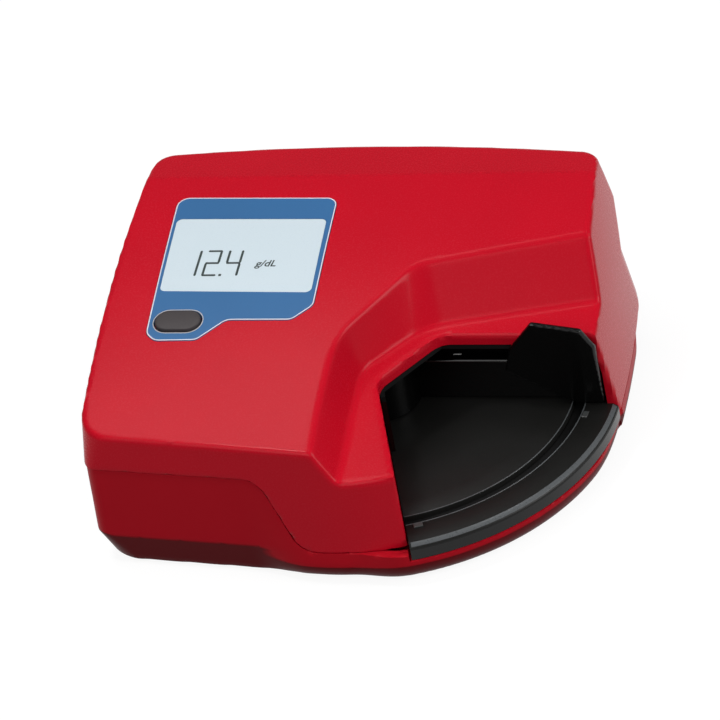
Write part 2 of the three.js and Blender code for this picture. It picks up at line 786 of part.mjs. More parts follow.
const tilt = Math.atan(topSlope(stack.y));
const stackTop = topHeight(stack.y);

// Solid given in the tilted frame, set in the part's frame
function tilted(body) {
  const turn = new THREE.Matrix4().makeRotationX(tilt);
  const move = new THREE.Matrix4().makeTranslation(stack.x, stack.y, stackTop);
  return body.transform(move.multiply(turn).elements);
}

const panelOutline = rounded(panelPlaces, panelCornerRadius, true);
const windowOutline = rounded(windowPlaces, windowCornerRadius, true);

function betweenTops(points, from, to) {
  return prism(points, highParting, frontEdgeHeight + farAway)
    .intersect(underTop(to)).subtract(underTop(from));
}

const buttonLocal = stadium(buttonLength, buttonWidth, ...buttonPlace);
const buttonHole = tilted(prism(grown(buttonLocal, fit), -carrierDepth, overrun));

// Upper shell: outer form, less its hollow, the ledge, the mouth and the chamber
const hollow = cutAll(upperForm(wall), [overLedge(wall), mouthSpace(wall)]);
const upperBosses = screwPlaces.map(([x, y]) => {
  const tube = bossTube(x, y, lowParting, topHeight(y));
  return tube.subtract(disc(screwRadius - fit / 2, 0, topHeight(y) - 2 * wall, x, y, 12));
});
const shellBody = cutAll(upperForm(0), [overLedge(0), hollow]);
const withBosses = joinAll([shellBody, ...upperBosses.map((boss) => boss
  .intersect(cutAll(upperForm(wall / 2), [overLedge(wall / 2)])))]);
const upperHousing = cutAll(withBosses, [
  mouthSpace(0),
  chamberSpace(linerWall + fit, -overrun),
  underJoint(shellGap()),
  betweenTops(grown(panelOutline, fit), -panelDepth, overrun),
  betweenTops(grown(windowOutline, -windowLedge), -farAway / 2, overrun),
  buttonHole,
]);
place('upper_housing', upperHousing, 'redCase');

function shellGap() {
  return fit;
}

// Lower shell: outer form under the joint, its hollow, the battery bay and the bosses
const base = footHeight;
const trayCut = sector(0, 2 * farAway, -71.7, -1.2, skirtFoot - fit, farAway);
const bayOuter = block([bay.left - bayWall, bay.right + bayWall],
  [bay.front - bayWall, bay.back + bayWall], [base, bay.ceiling + bayWall]);
const bayInner = block([bay.left, bay.right], [bay.front, bay.back], [-overrun, bay.ceiling]);
const doorPath = [[-farAway, bay.front - doorRim], [bay.right + doorRim, bay.front - doorRim],
  [bay.right + doorRim, bay.back + doorRim], [-farAway, bay.back + doorRim]];
const lowerOuter = lowerForm(0, base).intersect(underJoint(0));
const lowerHollow = lowerForm(wall, base + wall).subtract(bayOuter);
const lowerBosses = screwPlaces.map(([x, y]) => bossTube(x, y, base, lowParting));
const postSeat = disc(postFoot, base, trayFloor - trayThickness - fit, 0, 0);
const detectorPosts = [[detectorBoard.left + 3, detectorBoard.front + 3],
  [detectorBoard.right - 3, detectorBoard.back - 3]].map(([x, y]) => bossTube(x, y, base,
  detectorBoard.under, bossRadius));
const lowerShell = joinAll([lowerOuter.subtract(lowerHollow), ...lowerBosses, postSeat,
  ...detectorPosts]);
const inletBox = (grow, low) => block([inlet.x - inletRecess - grow, inlet.x + inletRecess + grow],
  [low, farAway], [inlet.z - inletRecess - grow, inlet.z + inletRecess + grow]);
const inletCup = inletBox(bayWall, inlet.face + fit).intersect(lowerForm(0, base));
const inletShelf = block([inlet.x - inlet.width / 3, inlet.x + inlet.width / 3],
  [inlet.face - inlet.depth + 1, inlet.face + fit + bayWall],
  [base, inlet.z - inlet.height / 2 - fit]);
const inletHoleCut = new THREE.Matrix4().makeTranslation(inlet.x, inlet.face + overrun, inlet.z)
  .multiply(new THREE.Matrix4().makeRotationX(90 * rad));
const inletCut = inletBox(0, inlet.face + fit + bayWall)
  .add(disc(inlet.bore + 0.6, 0, 2 * overrun, 0, 0, 20).transform(inletHoleCut.elements));
const bayTop = block([bay.left - bayWall, bay.right + bayWall],
  [bay.front - bayWall, bay.back + bayWall], [highParting - wall, bay.ceiling + bayWall])
  .intersect(upperForm(wall + fit));
const lowerHousing = cutAll(joinAll([lowerShell.intersect(lowerForm(0, base)), bayTop, inletCup,
  inletShelf]), [
  trayCut,
  bayInner,
  prism(doorPath, -overrun, doorTop + fit),
  inletCut,
  ...screwPlaces.map(([x, y]) => disc(bossBore, -overrun, farAway, x, y, 12)),
  ...screwPlaces.map(([x, y]) => disc(screwHeadRadius + fit, -overrun, base + screwSink
    + screwHeadHeight, x, y)),
  ...footPlaces.map(([x, y]) => disc(footRadius + fit, -overrun, base + footSink, x, y)),
]);
place('lower_housing', lowerHousing, 'redBase');

// Battery door, a piece of the base's own outer form that slides out to the left
const doorShape = prism([[-farAway, bay.front - doorRim + fit], [bay.right + doorRim - fit,
  bay.front - doorRim + fit], [bay.right + doorRim - fit, bay.back + doorRim - fit],
[-farAway, bay.back + doorRim - fit]], -overrun, doorTop);
const grips = [0, 1, 2, 3].map((i) => block([bay.right - doorGrip.place - doorGrip.pitch * i,
  bay.right - doorGrip.place - doorGrip.pitch * i + doorGrip.width],
[bay.front + doorGrip.place, bay.back - doorGrip.place], [-overrun, base + doorGrip.depth]));
place('battery_door', cutAll(lowerForm(0, base).intersect(doorShape), grips), 'redBase');

// Four cells, two in each layer, with a leaf and a spring at their ends
const cellMiddle = (bay.left + bay.right) / 2;
const cellTurns = [1, -1, -1, 1];
[0, 1, 2, 3].forEach((i) => {
  const row = i % 2;
  const layer = Math.floor(i / 2);
  const y = (bay.front + bay.back) / 2 + (row - 0.5) * cellPitch;
  const z = doorTop + cellGap + cellRadius + layer * (cellPitch - 0.2);
  const half = cellLength / 2;
  const profile = [[0, -half], [cellRadius, -half], [cellRadius, half - tipLength],
    [tipRadius, half - tipLength], [tipRadius, half], [0, half]];
  const upright = turned(profile, 0, 0, 20);
  const lie = new THREE.Matrix4().makeRotationY(90 * rad * cellTurns[i]);
  const move = new THREE.Matrix4().makeTranslation(cellMiddle, y, z);
  place(`battery_${i + 1}`, upright.transform(move.multiply(lie).elements), 'battery');
});
[['left', bay.left + fit], ['right', bay.right - fit - contactThickness]].forEach(([side, x]) => {
  [0, 1].forEach((row) => {
    const y = (bay.front + bay.back) / 2 + (row - 0.5) * cellPitch;
    place(`contact_${side}_${row + 1}`, block([x, x + contactThickness], [y - contactHalf, y + contactHalf],
      [doorTop + contactMargin, bay.ceiling - contactMargin]), 'steel');
  });
});

// Tray: floor, skirt and groove, cut to the chamber and the mouth
const trayUnder = trayFloor - trayThickness;
const trayDisc = turned([[0, trayUnder], [trayRadius - skirtWall, trayUnder],
  [trayRadius - skirtWall, skirtFoot], [trayRadius, skirtFoot],
  [trayRadius, trayFloor - rimDrop], [trayRadius - rimWidth, trayFloor], [0, trayFloor]], 0, 0, 96);
const trayOutline = chamberPath(linerWall, fit);
const groove = sector(grooveInner, grooveOuter, grooveFirst, grooveLast,
  trayFloor - grooveDepth, trayFloor + overrun);
const trayPieces = trayDisc.intersect(prism(trayOutline, -overrun, farAway));
const pillarStand = prism([[chamberRight + linerWall, -pillarLowFace - fit],
  [farAway, -pillarLowFace - fit], [farAway, farAway], [chamberRight + linerWall, farAway]],
-overrun, farAway);
const stops = stopPlaces.map((angle) => {
  const turn = new THREE.Matrix4().makeRotationZ(angle * rad);
  const [long, wide, high] = stopSize;
  return block([stopRadius - wide / 2, stopRadius + wide / 2], [-long / 2, long / 2],
    [trayFloor - high, trayFloor + high]).transform(turn.elements);
});
const trayFront = prism([[-farAway, -farAway], [farAway, -farAway], [farAway, farAway],
  [-farAway, farAway]], -overrun, farAway);
const apron = sector(0, farAway, -71.2, -1.4, -overrun, farAway);
const insideFloor = block([chamberLeft - linerWall, chamberRight], [chamberFront - linerWall,
  chamberBack + linerWall], [-overrun, farAway]);
const tray = cutAll(trayPieces.intersect(trayFront).intersect(apron.add(insideFloor)), [
  groove,
  pillarStand,
  disc(postRadius + fit, -overrun, farAway, 0, 0),
  disc(portRadius, -overrun, farAway, portX, portY, 12),
]);
place('tray', joinAll([tray, ...stops]), 'blackPlastic');

// Liner: side, back and ceiling of the chamber in one thin moulding
const linerFloor = trayFloor + fit;
const linerShell = chamberSpace(linerWall, linerFloor, fit).subtract(chamberSpace(0, -overrun,
  fit + linerWall));
const behindMouth = cutAll(linerShell, [prism([[farAway, -farAway], [farAway, mouthBack + fit],
  [mouthSecond, mouthBack + fit], [mouthOffset - mouthSide * mouthFirst, mouthFirst],
  [mouthOffset + mouthSide * farAway, -farAway]], ledgeAt(mouthFirst) - lipHeight - 3, farAway)]);
const liner = cutAll(behindMouth, [
  block([chamberRight - fit, farAway], [-farAway, armFront + armWall + fit], [-overrun, farAway]),
  disc(portRadius + 0.5, -overrun, farAway, portX, portY, 12),
]);
place('chamber_liner', liner.intersect(prism(chamberPath(linerWall, fit), linerFloor, farAway)
  .intersect(block([-farAway, farAway], [mouthFirst - 1, farAway], [0, farAway]))), 'mattBlack');


// Pivot: a post on the base, with a washer and a screw that hold the arm down
const seatTop = trayUnder - fit;
place('pivot_post', disc(postRadius, seatTop, postTop)
  .subtract(disc(postBore, postTop - pivotDepth - 1, postTop + overrun, 0, 0, 12)), 'steel');
place('pivot_washer', disc(washerRadius, postTop, postTop + washerThickness)
  .subtract(disc(postBore, -overrun, farAway, 0, 0, 12)), 'brass');
const screwSeat = postTop + washerThickness;
place('pivot_screw', disc(pivotHead, screwSeat, screwSeat + pivotHeadHeight, 0, 0, 16)
  .add(disc(pivotShank, postTop - pivotDepth, screwSeat + 1, 0, 0, 12))
  .subtract(disc(pivotShank, screwSeat + 1, farAway, 0, 0, 6)), 'steel');

// Arm: hub, hollow beam and the grip plate that leans out in front of the mouth
const armLow = trayFloor + runningGap;
const beam = sector(0, armRadius, -2, 90, armLow, armTop, 32)
  .intersect(block([0, farAway], [armFront, armBack], [-overrun, farAway]));
const beamHollow = sector(0, armRadius - armWall, -2, 90, -overrun, armTop - pocketDepth - armWall, 32)
  .intersect(block([hubRadius + armWall, farAway], [armFront + armWall, armBack - armWall],
    [-overrun, farAway]));
const gripTop = 2 * farAway;
function gripLine(shift) {
  return (z) => gripFront - gripLean * (z - trayFloor) + shift;
}
const leanFront = gripLine(0);
const leanBack = gripLine(gripThickness);
const gripProfile = [[leanFront(armLow), armLow], [leanFront(gripTop), gripTop],
  [leanBack(gripTop), gripTop], [leanBack(armTop), armTop], [armFront + armWall, armTop],
  [armFront + armWall, armLow]];
const gripPlate = prismY(rounded(gripPlaces, 1, true, 2), -farAway, farAway)
  .intersect(prismX(gripProfile, 0, farAway));
const peg = disc(pegRadius, trayFloor - pegReach, armTop - pocketDepth - armWall / 2,
  (grooveInner + grooveOuter) / 2 * Math.cos(pegAngle * rad),
  (grooveInner + grooveOuter) / 2 * Math.sin(pegAngle * rad), 12);
const holderShape = holderPlaces;
const pocket = block([holderShape.left - fit, holderShape.right + fit],
  [holderShape.front - fit, holderShape.back + fit], [armTop - pocketDepth, farAway]);
const swingArm = cutAll(joinAll([beam.subtract(beamHollow), disc(hubRadius, armLow, armTop, 0, 0, 48),
  gripPlate, peg]), [
  disc(hubBore, -overrun, farAway),
  disc(counterbore, postTop - fit, farAway),
  pocket,
  disc(portRadius, -overrun, farAway, portX, portY, 12),
]);
place('swing_arm', swingArm, 'blackPlastic');

// Holder for the cuvette, a tray with a deep slot, clipped into the arm
const holderLow = armTop - holderDepth - fit;
const holder = block([holderShape.left, holderShape.right], [holderShape.front, holderShape.back],
  [holderLow, armTop - fit / 2]);
place('cuvette_holder', cutAll(holder, [
  block([cuvetteLeft, holderShape.right + overrun], [cuvetteFront, cuvetteBack],
    [holderLow + cuvetteFloor, farAway]),
  disc(portRadius, -overrun, farAway, portX, portY, 12),
]), 'mattBlack');

// Display film with its window and button hole, and the clear pane under it
const film = betweenTops(panelOutline, -filmThickness, panelProud);
place('keypad_film', cutAll(film, [
  prism(windowOutline, -overrun, farAway),
  tilted(prism(grown(buttonLocal, fit), -carrierDepth, overrun)),
]), 'blueFilm');
place('display_window', betweenTops(grown(windowOutline, -windowLedge - fit), -wall, -fit),
  'clearPlastic');

// Display, carrier, contact strips and board, all in the tilted frame
const [displayLong, displayWide, displayThick] = displaySize;
const displayBox = [[-displayLong / 2, displayLong / 2], [-displayWide / 2 + 5, displayWide / 2 + 5]];
place('display_panel', tilted(block(...displayBox, [-displayDrop - displayThick, -displayDrop])),
  'displayGrey');
const carrierTop = -displayDrop - fit;
const carrierLow = -displayDrop - carrierDepth;
const around = (border) => [[displayBox[0][0] - border, displayBox[0][1] + border],
  [displayBox[1][0] - border, displayBox[1][1] + border]];
place('display_carrier', tilted(block(...around(carrierBorder), [carrierLow, carrierTop])
  .subtract(block(...around(fit), [carrierLow - overrun, overrun]))), 'whitePlastic');
const stripTop = -displayDrop - displayThick - fit;
[displayBox[1][0] + 1, displayBox[1][1] - 3.4].forEach((y, i) => place(`contact_strip_${i + 1}`,
  tilted(block([displayBox[0][0] + 2, displayBox[0][1] - 2], [y, y + 2.4],
    [carrierLow, stripTop])), 'rubber'));
const boardTop = carrierLow - fit;
const boardLow = boardTop - boardThickness;
place('main_board', tilted(block([boardReach.left, boardReach.right],
  [boardReach.front, boardReach.back], [boardLow, boardTop])), 'board');
const chips = [['processor', -6, 20, 10, 10, 1.4], ['memory_chip', 10, 22, 7, 5, 1.2],
  ['power_chip', 14, 6, 6, 6, 1.6], ['coil', -12, 0, 7, 7, 3]];
chips.forEach(([name, x, y, long, wide, high]) => place(name, tilted(block(
  [x - long / 2, x + long / 2], [y - wide / 2, y + wide / 2], [boardLow - high, boardLow])),
'mattBlack'));

// Button on its tact switch
const [switchLong, switchWide, switchHigh] = switchSize;
const [buttonX, buttonY] = buttonPlace;
const switchTop = boardTop + switchHigh;
place('button_switch', tilted(block([buttonX - switchLong / 2, buttonX + switchLong / 2],
  [buttonY - switchWide / 2, buttonY + switchWide / 2], [boardTop, switchTop])), 'mattBlack');
const flangeTop = -wall - 0.9;
const buttonBody = prism(buttonLocal, flangeTop, buttonProud)
  .add(prism(grown(buttonLocal, buttonFlange), flangeTop - 1, flangeTop))
  .add(disc(1.6, switchTop + buttonTravel + fit, flangeTop, buttonX, buttonY, 12));
place('button_cap', tilted(buttonBody), 'greyButton');

// Optics: lamp and lens over the chamber, detector under the tray
const linerTop = ledgeAt(mouthBack) - lipHeight - fit;
const [opticLong, opticWide, opticHigh] = opticSize;
const opticLow = linerTop + fit;
place('optic_block', block([portX - opticLong / 2, portX + opticLong / 2],
  [portY - opticWide / 2 + 1, portY + opticWide / 2 + 1], [opticLow, opticLow + opticHigh])
  .subtract(disc(opticBore, -overrun, farAway, portX, portY, 16)), 'mattBlack');
place('collimator_lens', turned([[0, opticLow], [lensRadius, opticLow], [lensRadius, opticLow + 0.8],
  [lensRadius / 2, opticLow + 1.3], [0, opticLow + 1.5]], portX, portY, 16), 'clearPlastic');
const ledLow = opticLow + 1.8;
place('led_emitter', turned([[0, ledLow], [ledRadius / 2, ledLow + 0.3], [ledRadius, ledLow + 1.4],
  [ledRadius, opticLow + opticHigh - 0.2], [0, opticLow + opticHigh - 0.2]], portX, portY, 16),
'clearPlastic');
const detector = detectorBoard;
place('detector_board', block([detector.left, detector.right], [detector.front, detector.back],
  [detector.under + fit, detector.under + fit + boardThickness]), 'board');
const detectorLow = detector.under + fit + boardThickness;
const [detectLong, detectWide, detectHigh] = detectorSize;
place('photo_detector', block([portX - detectLong / 2, portX + detectLong / 2],
  [portY - detectWide / 2, portY + detectWide / 2], [detectorLow, detectorLow + detectHigh]),
'mattBlack');

// Power inlet at the back, in a recess of the base
const inletFace = inlet.face;
const inletBack = inletFace - inlet.depth;
const inletBody = block([inlet.x - inlet.width / 2, inlet.x + inlet.width / 2],
  [inletBack, inletFace], [inlet.z - inlet.height / 2, inlet.z + inlet.height / 2]);
const along = new THREE.Matrix4().makeRotationX(90 * rad);
const atInlet = new THREE.Matrix4().makeTranslation(inlet.x, inletFace, inlet.z).multiply(along);
const inletHole = disc(inlet.bore, -overrun, inlet.depth - 3, 0, 0, 20).transform(atInlet.elements);
const inletPin = disc(inlet.pin, fit, inlet.depth - 2, 0, 0, 12).transform(atInlet.elements);
place('power_inlet', inletBody.subtract(inletHole).add(inletPin), 'mattBlack');

// Buzzer, feet and screws
const [buzzerX, buzzerY] = buzzerPlace;
place('buzzer', disc(buzzerRadius, base + wall, base + wall + buzzerHeight, buzzerX, buzzerY)
  .subtract(disc(1, base + wall + buzzerHeight - 1, farAway, buzzerX, buzzerY, 12)), 'mattBlack');
footPlaces.forEach(([x, y], i) => place(`rubber_foot_${i + 1}`, turned([[0, 0],
  [footRadius - 1, 0], [footRadius, 0.4], [footRadius, base + footSink - fit],
  [0, base + footSink - fit]], x, y, 20), 'rubber'));
const screwLow = base + screwSink;
screwPlaces.forEach(([x, y], i) => place(`housing_screw_${i + 1}`, disc(screwHeadRadius, screwLow,
  screwLow + screwHeadHeight - fit, x, y, 16).add(disc(screwRadius - 0.35, screwLow + 1,
  lowParting + 6, x, y, 12)).subtract(disc(1.1, -overrun, screwLow + 1, x, y, 6)), 'steel'));

// The case's middle goes over the origin
const extent = new THREE.Box3().setFromObject(product);
const middle = extent.getCenter(new THREE.Vector3());
product.position.set(-middle.x, -middle.y, -extent.min.z);

export default product;
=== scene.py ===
# Looks of a red hemoglobin photometer with a swing-out cuvette arm.
# Metres, +Z up. The front of the unit faces -Y and the table is at Z = 0.
import json
import math

import bmesh
import bpy
import numpy as np
from mathutils import Matrix, Vector
from mathutils.geometry import tessellate_polygon


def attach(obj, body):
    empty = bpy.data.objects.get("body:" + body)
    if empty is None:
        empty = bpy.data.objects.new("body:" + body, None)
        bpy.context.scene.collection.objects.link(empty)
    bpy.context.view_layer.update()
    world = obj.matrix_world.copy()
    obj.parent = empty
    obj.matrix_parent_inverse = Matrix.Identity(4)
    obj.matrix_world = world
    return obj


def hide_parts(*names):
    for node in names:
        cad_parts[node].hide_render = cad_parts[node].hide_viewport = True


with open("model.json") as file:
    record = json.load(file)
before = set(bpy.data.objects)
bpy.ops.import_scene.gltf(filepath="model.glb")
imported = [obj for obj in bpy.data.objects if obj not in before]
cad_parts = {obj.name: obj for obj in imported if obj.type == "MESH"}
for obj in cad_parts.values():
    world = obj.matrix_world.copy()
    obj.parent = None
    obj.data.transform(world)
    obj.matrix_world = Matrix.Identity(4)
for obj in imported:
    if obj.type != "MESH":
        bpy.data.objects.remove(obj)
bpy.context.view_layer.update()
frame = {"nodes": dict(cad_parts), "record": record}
record = frame["record"]
mm = 0.001


# Colours and materials

def linear(code):
    # sRGB hex to the linear colour that Blender's sockets take
    parts = [int(code[i:i + 2], 16) / 255 for i in (1, 3, 5)]
    return tuple(p / 12.92 if p <= 0.04045 else ((p + 0.055) / 1.055) ** 2.4 for p in parts) + (1.0,)


def addNode(tree, kind, links=None, **settings):
    # one node with its settings, its plain input values and its incoming links
    node = tree.nodes.new(kind)
    inputs = settings.pop("inputs", {})
    for name, value in settings.items():
        setattr(node, name, value)
    for name, value in inputs.items():
        node.inputs[name].default_value = value
    for name, source in (links or {}).items():
        tree.links.new(source, node.inputs[name])
    return node


def newMaterial(name):
    material = bpy.data.materials.new(name)
    material.use_nodes = True
    material.node_tree.nodes.clear()
    return material, material.node_tree


footShade = {"height": (9.5, 12.5), "lean": (-0.085, -0.03), "flat": (-0.95, -0.7), "flatTone": 0.8}


def shadeFoot(tree, colour, tone):
    # Imitates a photograph's shade: walls that lean in are toned down below footShade's height.
    # The real plastic has one colour all over. A flat underside keeps most of it.
    facing = addNode(tree, "ShaderNodeNewGeometry")
    normal = addNode(tree, "ShaderNodeSeparateXYZ", {"Vector": facing.outputs["Normal"]})
    low, high = footShade["lean"]
    lean = addNode(tree, "ShaderNodeMapRange", {"Value": normal.outputs["Z"]},
                   inputs={"From Min": low, "From Max": high, "To Min": tone, "To Max": 1.0})
    low, high = footShade["flat"]
    under = addNode(tree, "ShaderNodeMapRange", {"Value": normal.outputs["Z"]},
                    inputs={"From Min": low, "From Max": high, "To Min": footShade["flatTone"],
                            "To Max": 0.0})
    where = addNode(tree, "ShaderNodeTexCoord")
    place = addNode(tree, "ShaderNodeSeparateXYZ", {"Vector": where.outputs["Object"]})
    low, high = (edge * mm for edge in footShade["height"])
    above = addNode(tree, "ShaderNodeMapRange", {"Value": place.outputs["Z"]},
                    inputs={"From Min": low, "From Max": high, "To Min": 0.0, "To Max": 1.0})
    spared = addNode(tree, "ShaderNodeMath", {0: above.outputs[0], 1: under.outputs[0]}, operation="MAXIMUM")
    share = addNode(tree, "ShaderNodeMath", {0: lean.outputs[0], 1: spared.outputs[0]}, operation="MAXIMUM")
    scaled = addNode(tree, "ShaderNodeVectorMath", {0: colour, "Scale": share.outputs[0]}, operation="SCALE")
    return scaled.outputs[0]


plasticLooks = {"ior": 1.53, "slowPatch": 28, "grainDepth": 0.03, "glossSwing": 0.05}


def mouldedPlastic(name, colour, roughness, grain, bump, specular=0.5, shade=0.06, footTone=1.0):
    # a moulded plastic: the mould's eroded grain as a fine bump, and a slow change of tone and gloss
    material, tree = newMaterial(name)
    place = addNode(tree, "ShaderNodeTexCoord")
    spots = addNode(tree, "ShaderNodeTexNoise", {"Vector": place.outputs["Object"]},
                    inputs={"Scale": 1 / (grain * mm), "Detail": 3.0, "Roughness": 0.6})
    slow = addNode(tree, "ShaderNodeTexNoise", {"Vector": place.outputs["Object"]},
                   inputs={"Scale": 1 / (plasticLooks["slowPatch"] * mm), "Detail": 2.0})
    low, high = [tuple(c * f for c in linear(colour)[:3]) + (1.0,) for f in (1 - shade, 1 + shade)]
    tone = addNode(tree, "ShaderNodeMix", {"Factor": slow.outputs["Fac"]}, data_type="RGBA")
    tone.inputs[6].default_value, tone.inputs[7].default_value = low, high
    colourOut = shadeFoot(tree, tone.outputs[2], footTone) if footTone < 1 else tone.outputs[2]
    swing = plasticLooks["glossSwing"]
    gloss = addNode(tree, "ShaderNodeMapRange", {"Value": spots.outputs["Fac"]},
                    inputs={"From Min": 0.3, "From Max": 0.7, "To Min": roughness - swing,
                            "To Max": roughness + swing})
    relief = addNode(tree, "ShaderNodeBump", {"Height": spots.outputs["Fac"]},
                     inputs={"Strength": bump, "Distance": plasticLooks["grainDepth"] * mm})
    shader = addNode(tree, "ShaderNodeBsdfPrincipled",
                     {"Base Color": colourOut, "Roughness": gloss.outputs["Result"],
                      "Normal": relief.outputs["Normal"]},
                     inputs={"IOR": plasticLooks["ior"], "Specular IOR Level": specular})
    addNode(tree, "ShaderNodeOutputMaterial", {"Surface": shader.outputs["BSDF"]})
    return material


def brightMetal(name, colour, roughness, grain):
    # turned or rolled metal: fine scratches change its gloss
    material, tree = newMaterial(name)
    place = addNode(tree, "ShaderNodeTexCoord")
    lines = addNode(tree, "ShaderNodeTexNoise", {"Vector": place.outputs["Object"]},
                    inputs={"Scale": 1 / (grain * mm), "Detail": 4.0})
    gloss = addNode(tree, "ShaderNodeMapRange", {"Value": lines.outputs["Fac"]},
                    inputs={"To Min": roughness - 0.08, "To Max": roughness + 0.08})
    shader = addNode(tree, "ShaderNodeBsdfPrincipled", {"Roughness": gloss.outputs["Result"]},
                     inputs={"Base Color": linear(colour), "Metallic": 1.0})
    addNode(tree, "ShaderNodeOutputMaterial", {"Surface": shader.outputs["BSDF"]})
    return material


def clearSheet(name, colour, roughness):
    # a clear sheet lets the display through and keeps only its gloss
    material, tree = newMaterial(name)
    place = addNode(tree, "ShaderNodeTexCoord")
    haze = addNode(tree, "ShaderNodeTexNoise", {"Vector": place.outputs["Object"]},
                   inputs={"Scale": 1 / (6 * mm), "Detail": 2.0})
    gloss = addNode(tree, "ShaderNodeMapRange", {"Value": haze.outputs["Fac"]},
                    inputs={"To Min": roughness, "To Max": roughness + 0.05})
    shader = addNode(tree, "ShaderNodeBsdfPrincipled", {"Roughness": gloss.outputs["Result"]},
                     inputs={"Base Color": linear(colour), "IOR": 1.05, "Transmission Weight": 1.0,
                             "Specular IOR Level": 0.3})
    addNode(tree, "ShaderNodeOutputMaterial", {"Surface": shader.outputs["BSDF"]})
    return material


materials = {
    # the case: fine eroded grain, a soft sheen on the lid and a duller base, whose darker red is painted
    # shade
    "red_case": mouldedPlastic("moulded red ABS", "#b20b1f", 0.26, 0.45, 0.12, specular=0.085),
    # painted shade: footTone darkens the base's lower walls where they lean in
    "red_base": mouldedPlastic("moulded red ABS base", "#a80f1e", 0.42, 0.45, 0.2, specular=0.06,
                               footTone=0.25),
    # black mouldings, from a shiny arm to a dull lining that swallows light
    "black_gloss": mouldedPlastic("polished black ABS", "#050505", 0.22, 0.6, 0.02, specular=0.25),
    "black_tray": mouldedPlastic("satin black ABS", "#151514", 0.4, 0.6, 0.02, specular=0.2),
    "black_matt": mouldedPlastic("spark-eroded black ABS", "#080808", 0.55, 0.4, 0.4, specular=0.15,
                                 shade=0.1),
    # a lighter grey than the tray has: it imitates the light that the tray's edges catch
    "black_edge": mouldedPlastic("black ABS with painted edge highlight", "#4b4e50", 0.3, 0.6, 0.02, specular=0.4),
    "stop_plastic": mouldedPlastic("grey moulded stop", "#3a3c3c", 0.35, 0.5, 0.1),
    # the keypad: flat print, a soft button with a pale ring, and a pale thin line round the film that is a
    # painted highlight on its edge
    "grey_button": mouldedPlastic("grey silicone rubber", "#3a3536", 0.5, 0.5, 0.3, specular=0.25),
    "button_ring": mouldedPlastic("embossed ring in the film", "#a9a6a6", 0.4, 0.5, 0.05, specular=0.3),
    "blue_film": mouldedPlastic("screen-printed polyester film", "#33618f", 0.34, 0.5, 0.08,
                                specular=0.12),
    "film_edge": mouldedPlastic("pale line of painted edge highlight", "#c9c4cf", 0.4, 0.5, 0.05, specular=0.4),
    # the display: an even pale pane with dark figures
    "lcd_pane": mouldedPlastic("clear pane over liquid crystal", "#bdcad1", 0.3, 0.3, 0.0, specular=0.2,
                               shade=0.003),
    "lcd_ink": mouldedPlastic("dark liquid crystal figure", "#3a4242", 0.5, 0.5, 0.02, specular=0.1),
    "display_glass": mouldedPlastic("liquid crystal glass", "#d6e2ea", 0.25, 0.3, 0.05, shade=0.02),
    "clear_plastic": clearSheet("clear polycarbonate", "#f4f8fa", 0.05),
    # parts inside and below
    "white_plastic": mouldedPlastic("white polycarbonate", "#dedfdc", 0.5, 0.5, 0.2),
    "circuit_board": mouldedPlastic("glass-epoxy circuit board", "#1e6b3c", 0.4, 0.2, 0.3, shade=0.2),
    "rubber": mouldedPlastic("black EPDM rubber", "#222222", 0.8, 0.3, 0.5, specular=0.3),
    "battery_can": mouldedPlastic("printed battery sleeve", "#3a3f45", 0.35, 1.0, 0.05),
    "steel": brightMetal("zinc-plated steel", "#b8bcc0", 0.35, 0.15),
    "brass": brightMetal("turned brass", "#c9a95a", 0.33, 0.15),
}
print("materials made", len(materials))

slotOf = {piece["node"]: piece["material_slot"] for piece in record["subparts"]}
for name, node in frame["nodes"].items():
    node.data.materials.clear()
    node.data.materials.append(materials[slotOf[name]])

# The arm's axis stands at shift; all sizes below are millimetres from that axis
shift = {"x": 2.33, "y": -1.588}
below, beyond = -9, 95  # where cuts start and end, outside the case
nowhere = -50.0  # the value of a wall that is left out


# Fields: negative inside a body, and roughly the distance in millimetres

def roundMax(a, b, radius):
    # overlap of two bodies, with an edge of this radius
    u, v = np.maximum(a + radius, 0), np.maximum(b + radius, 0)
    return np.minimum(np.maximum(a, b), -radius) + np.hypot(u, v)


def roundMin(a, b, radius):
    # both bodies together, with a corner of this radius
    return -roundMax(-a, -b, radius)


def lineField(x, y, start, end):
    # distance to the left of a line in plan
    dx, dy = end[0] - start[0], end[1] - start[1]
    return (dx * (y - start[1]) - dy * (x - start[0])) / np.sqrt(dx * dx + dy * dy)


def blockField(x, y, z, xs, ys, zs):
    return np.maximum.reduce([xs[0] - x, x - xs[1], ys[0] - y, y - ys[1], zs[0] - z, z - zs[1]])


def discField(x, y, z, radius, low, high, at=(0, 0)):
    return np.maximum.reduce([np.hypot(x - at[0], y - at[1]) - radius, low - z, z - high])


def blend(start, end, value):
    t = np.clip((value - start) / (end - start), 0, 1)
    return t * t * (3 - 2 * t)


def outlineField(points, x, y):
    # distance to a closed outline in plan
    best = np.full(x.shape, 1e9)
    inside = np.zeros(x.shape, bool)
    for (ax, ay), (bx, by) in zip(points, points[1:] + points[:1]):
        ex, ey = bx - ax, by - ay
        t = np.clip(((x - ax) * ex + (y - ay) * ey) / (ex * ex + ey * ey), 0, 1)
        best = np.minimum(best, (x - ax - t * ex) ** 2 + (y - ay - t * ey) ** 2)
        crosses = (ay > y) != (by > y)
        inside ^= crosses & (x < ax + (y - ay) * ex / (ey if ey else 1e-9))
    return np.where(inside, -1, 1) * np.sqrt(best)


